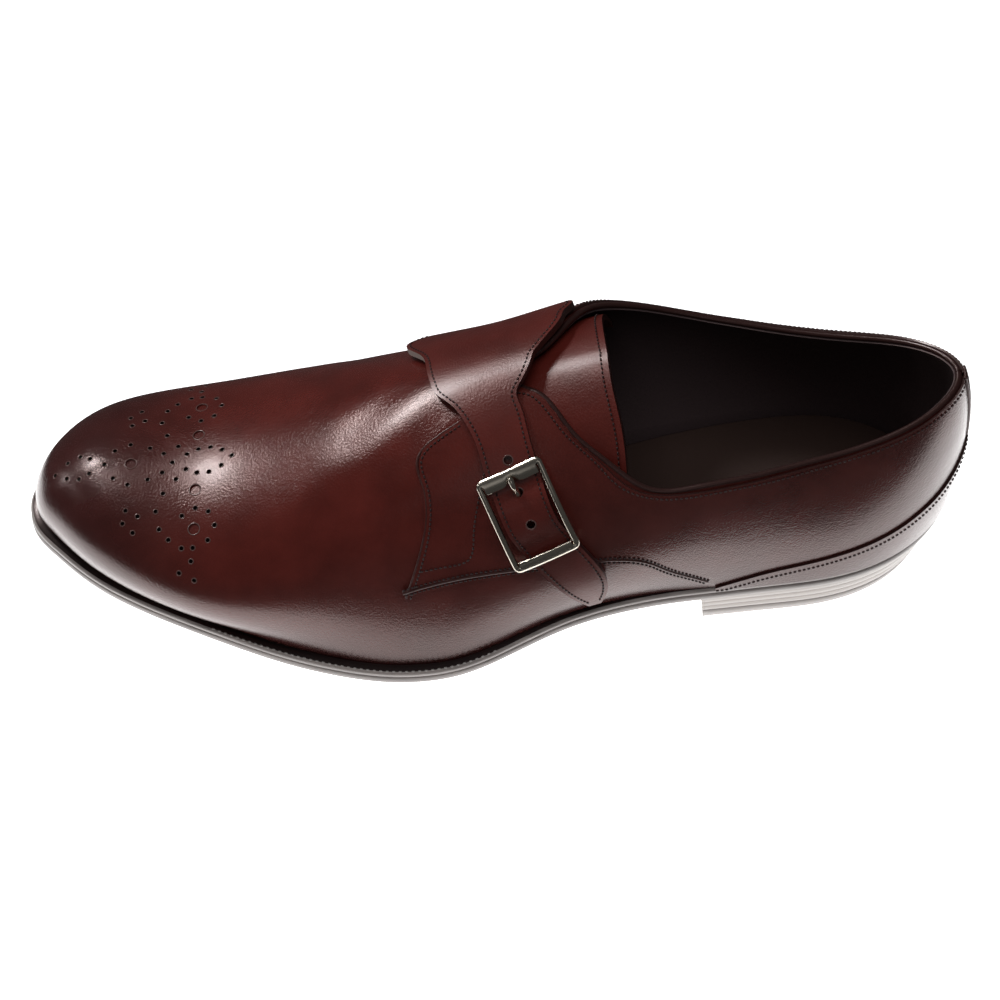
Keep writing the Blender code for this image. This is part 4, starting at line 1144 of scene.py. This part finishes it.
def make_heel():
    """The heel's three lifts as one piece, and the top piece under them."""
    half = np.linspace(0.0, side_angle(BREAST * LENGTH), 70)
    angles = np.concatenate([half, FULL_TURN - half[:0:-1]])
    top = sole_height(station_of(angles)) + 0.0001
    split = TOP_PIECE_THICK / HEEL_RISE
    lifts = 3
    rings = []
    for lift in range(lifts):
        low, high = lift / lifts, (lift + 1) / lifts
        for level, inset in ((low, 0.0002), (low + 0.06, 0.0), (high - 0.06, 0.0), (high, 0.0002)):
            height = (TOP_PIECE_THICK + 0.0001) * (1.0 - level) + top * level
            rings.append(heel_ring(angles, (1.0 - split) * (1.0 - level), height, inset))
    stack = bands("heel_lifts", rings, [heel_leather], True, 50.0)
    flat = np.zeros(len(angles))
    rings = [heel_ring(angles, 1.0, flat, 0.0003), heel_ring(angles, 0.97, flat + 0.0003),
             heel_ring(angles, 1.0 - split + 0.02, flat + TOP_PIECE_THICK - 0.0003),
             heel_ring(angles, 1.0 - split, flat + TOP_PIECE_THICK, 0.0003)]
    return stack, bands("heel_top", rings, [heel_rubber], True, 50.0)


keep(make_sole(), "outsole", "outsole")
keep(make_welt(), "welt", "welt")
lifts, top_piece = make_heel()
keep(lifts, "heel_stack", "heel_stack")
keep(top_piece, "heel_top_piece", "heel_top_piece")


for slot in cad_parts["insole"].material_slots:
    slot.material = insole_leather


# Buckle and prong
def buckle_point(run, across, lift):
    """Point on the strap by its distances from the buckle's middle."""
    station, girth = np.linalg.solve(SLOPES, [run, across])
    return on_skin(BUCKLE_PLACE + station, BUCKLE_GIRTH + girth, lift)


def swept(name, rings, closed):
    """Silver bar along its rings of points, with flat ends if it has any."""
    count = len(rings[0])
    faces = quad_rows(rings, closed)
    if not closed:
        last = (len(rings) - 1) * count
        faces.append(list(range(count)))
        faces.append(list(range(last, last + count))[::-1])
    return mesh_from(name, np.concatenate(rings), faces, [silver], 45.0)


def make_buckle():
    """Frame with round corners and a notch for the prong's tip."""
    half_run, half_across, corner = 0.5 * BUCKLE_LENGTH, 0.5 * BUCKLE_WIDTH, BUCKLE_CORNER
    path = []
    for quarter, (fore, aside) in enumerate(((1, 1), (-1, 1), (-1, -1), (1, -1))):
        for step in range(9):
            angle = 0.5 * math.pi * (quarter + step / 8)
            out_run, out_across = math.cos(angle), math.sin(angle)
            path.append((fore * (half_run - corner) + corner * out_run,
                         aside * (half_across - corner) + corner * out_across, out_run, out_across))
    dense = []
    for here, there in zip(path, path[1:] + path[:1]):
        steps = max(1, round(math.dist(here[:2], there[:2]) / 0.0008))
        for k in range(steps):
            dense.append([a + (b - a) * k / steps for a, b in zip(here, there)])
    rings = []
    sides = 16
    for run, across, out_run, out_across in dense:
        size = math.hypot(out_run, out_across)
        out_run, out_across = out_run / size, out_across / size
        end_bar = TOP_BAR if out_run > 0.0 else BOTTOM_BAR
        width = SIDE_BAR + (end_bar - SIDE_BAR) * out_run ** 4
        if out_run > 0.9:
            width -= NOTCH_DEPTH * math.exp(-(across / NOTCH_REACH) ** 8)
        thick = BUCKLE_THICK * (1.25 if out_run < -0.7 else 1.0)
        ring = []
        for step in range(sides):
            angle = FULL_TURN * (step + 0.5) / sides
            inward = 0.5 * width * (math.cos(angle) - 1.0)
            ring.append(buckle_point(run + out_run * inward, across + out_across * inward,
                                     FRAME_LIFT + 0.5 * thick * math.sin(angle)))
        rings.append(np.array(ring))
    return swept("buckle", rings, True)


def make_prong():
    """Round pin from its hole in the strap to its notch in the frame."""
    radius = 0.5 * PRONG_THICK
    girth = HOLE_GIRTHS[1]
    place = strap_row(girth)[0]
    hole_run, low = float(buckle_run(place, girth)), float(strap_lift(place, girth))
    face = low + STRAP_THICK
    top = FRAME_LIFT + 0.5 * BUCKLE_THICK + 0.85 * radius
    bar = 0.5 * BUCKLE_LENGTH - TOP_BAR
    route = edge_curve(((hole_run - 0.0010, low + 0.2 * STRAP_THICK), (hole_run - 0.0004, face),
                        (hole_run + 0.0010, face + 0.9 * radius), (bar, top + 0.0001),
                        (bar + TOP_BAR - 0.0022, top)), 24)
    rings = []
    for index, (run, lift) in enumerate(route):
        behind, ahead = route[max(index - 1, 0)], route[min(index + 1, len(route) - 1)]
        slope = math.atan2(ahead[1] - behind[1], ahead[0] - behind[0])
        taper = 1.0 if index < len(route) - 2 else 0.6
        ring = []
        for step in range(12):
            angle = FULL_TURN * step / 12
            rise = taper * radius * math.sin(angle)
            ring.append(buckle_point(run - rise * math.sin(slope), taper * radius * math.cos(angle),
                                     lift + rise * math.cos(slope)))
        rings.append(np.array(ring))
    return swept("prong", rings, False)


keep(make_buckle(), "buckle_frame", "buckle_frame")
keep(make_prong(), "buckle_prong", "buckle_prong")


# Floor, lights and camera
def make_floor(name, corners, glow, mirrored):
    """White paper under the shoe, with a glow of its own."""
    mesh = bpy.data.meshes.new(name)
    level = 0.0 if mirrored else -0.0004
    mesh.from_pydata([(x, y, level) for x, y in corners], [], [(0, 1, 2, 3)])
    paper = plain(name, (0.93, 0.93, 0.93), 0.9)
    shader = paper.node_tree.nodes["Principled BSDF"]
    shader.inputs["Emission Color"].default_value = (1.0, 1.0, 1.0, 1.0)
    shader.inputs["Emission Strength"].default_value = glow
    floor = new_object(name, mesh, [paper])
    floor.visible_glossy = mirrored


# Mirrored in the shoe, the near paper is narrow; the far one only whitens the view
make_floor("near_paper", ((-0.23, -0.105), (0.30, -0.072), (0.30, 0.05), (-0.23, 0.05)), 1.7, True)
make_floor("far_paper", ((-6.0, -6.0), (6.0, -6.0), (6.0, 6.0), (-6.0, 6.0)), 0.55, False)


def area_light(name, place, target, size, power):
    """Square lamp that faces its target."""
    data = bpy.data.lights.new(name, "AREA")
    data.shape = "SQUARE"
    data.size = size
    data.energy = power
    lamp = bpy.data.objects.new(name, data)
    lamp.location = place
    lamp.rotation_euler = (Vector(target) - Vector(place)).to_track_quat("-Z", "Y").to_euler()
    bpy.context.scene.collection.objects.link(lamp)
    return lamp


area_light("key", (-0.78, 0.66, 1.12), (0.0, 0.0, 0.05), 0.25, 10.0)
area_light("window", (-1.25, 0.34, 0.62), (-0.12, 0.0, 0.03), 0.12, 1.6)
area_light("front_card", (0.0, -0.75, 0.95), (0.01, -0.03, 0.06), 0.5, 0.27)
overhead = area_light("overhead", (0.0, 0.1, 1.9), (0.0, 0.0, 0.0), 1.6, 26.0)
overhead.visible_glossy = False
world = bpy.data.worlds.new("studio")
world.use_nodes = True
backdrop = world.node_tree.nodes["Background"]
backdrop.inputs["Color"].default_value = (1.0, 1.0, 1.0, 1.0)
backdrop.inputs["Strength"].default_value = 0.05
bpy.context.scene.world = world
bpy.context.scene.view_settings.view_transform = "Standard"

camera_data = bpy.data.cameras.new("camera")
camera_data.lens = 84.2
camera_data.sensor_width = 36.0
camera = bpy.data.objects.new("camera", camera_data)
camera.location = (-0.0031, -0.4168, 0.6711)
forward = Vector((0.0033, -0.0068, 0.0400)) - camera.location
right = Vector((0.99988, -0.01555, 0.0))
forward.normalize()
up = right.cross(forward).normalized()
right = forward.cross(up).normalized()
camera.matrix_world = Matrix.Translation(camera.location) @ Matrix(
    (right, up, -forward)).transposed().to_4x4()
bpy.context.scene.collection.objects.link(camera)
bpy.context.scene.camera = camera
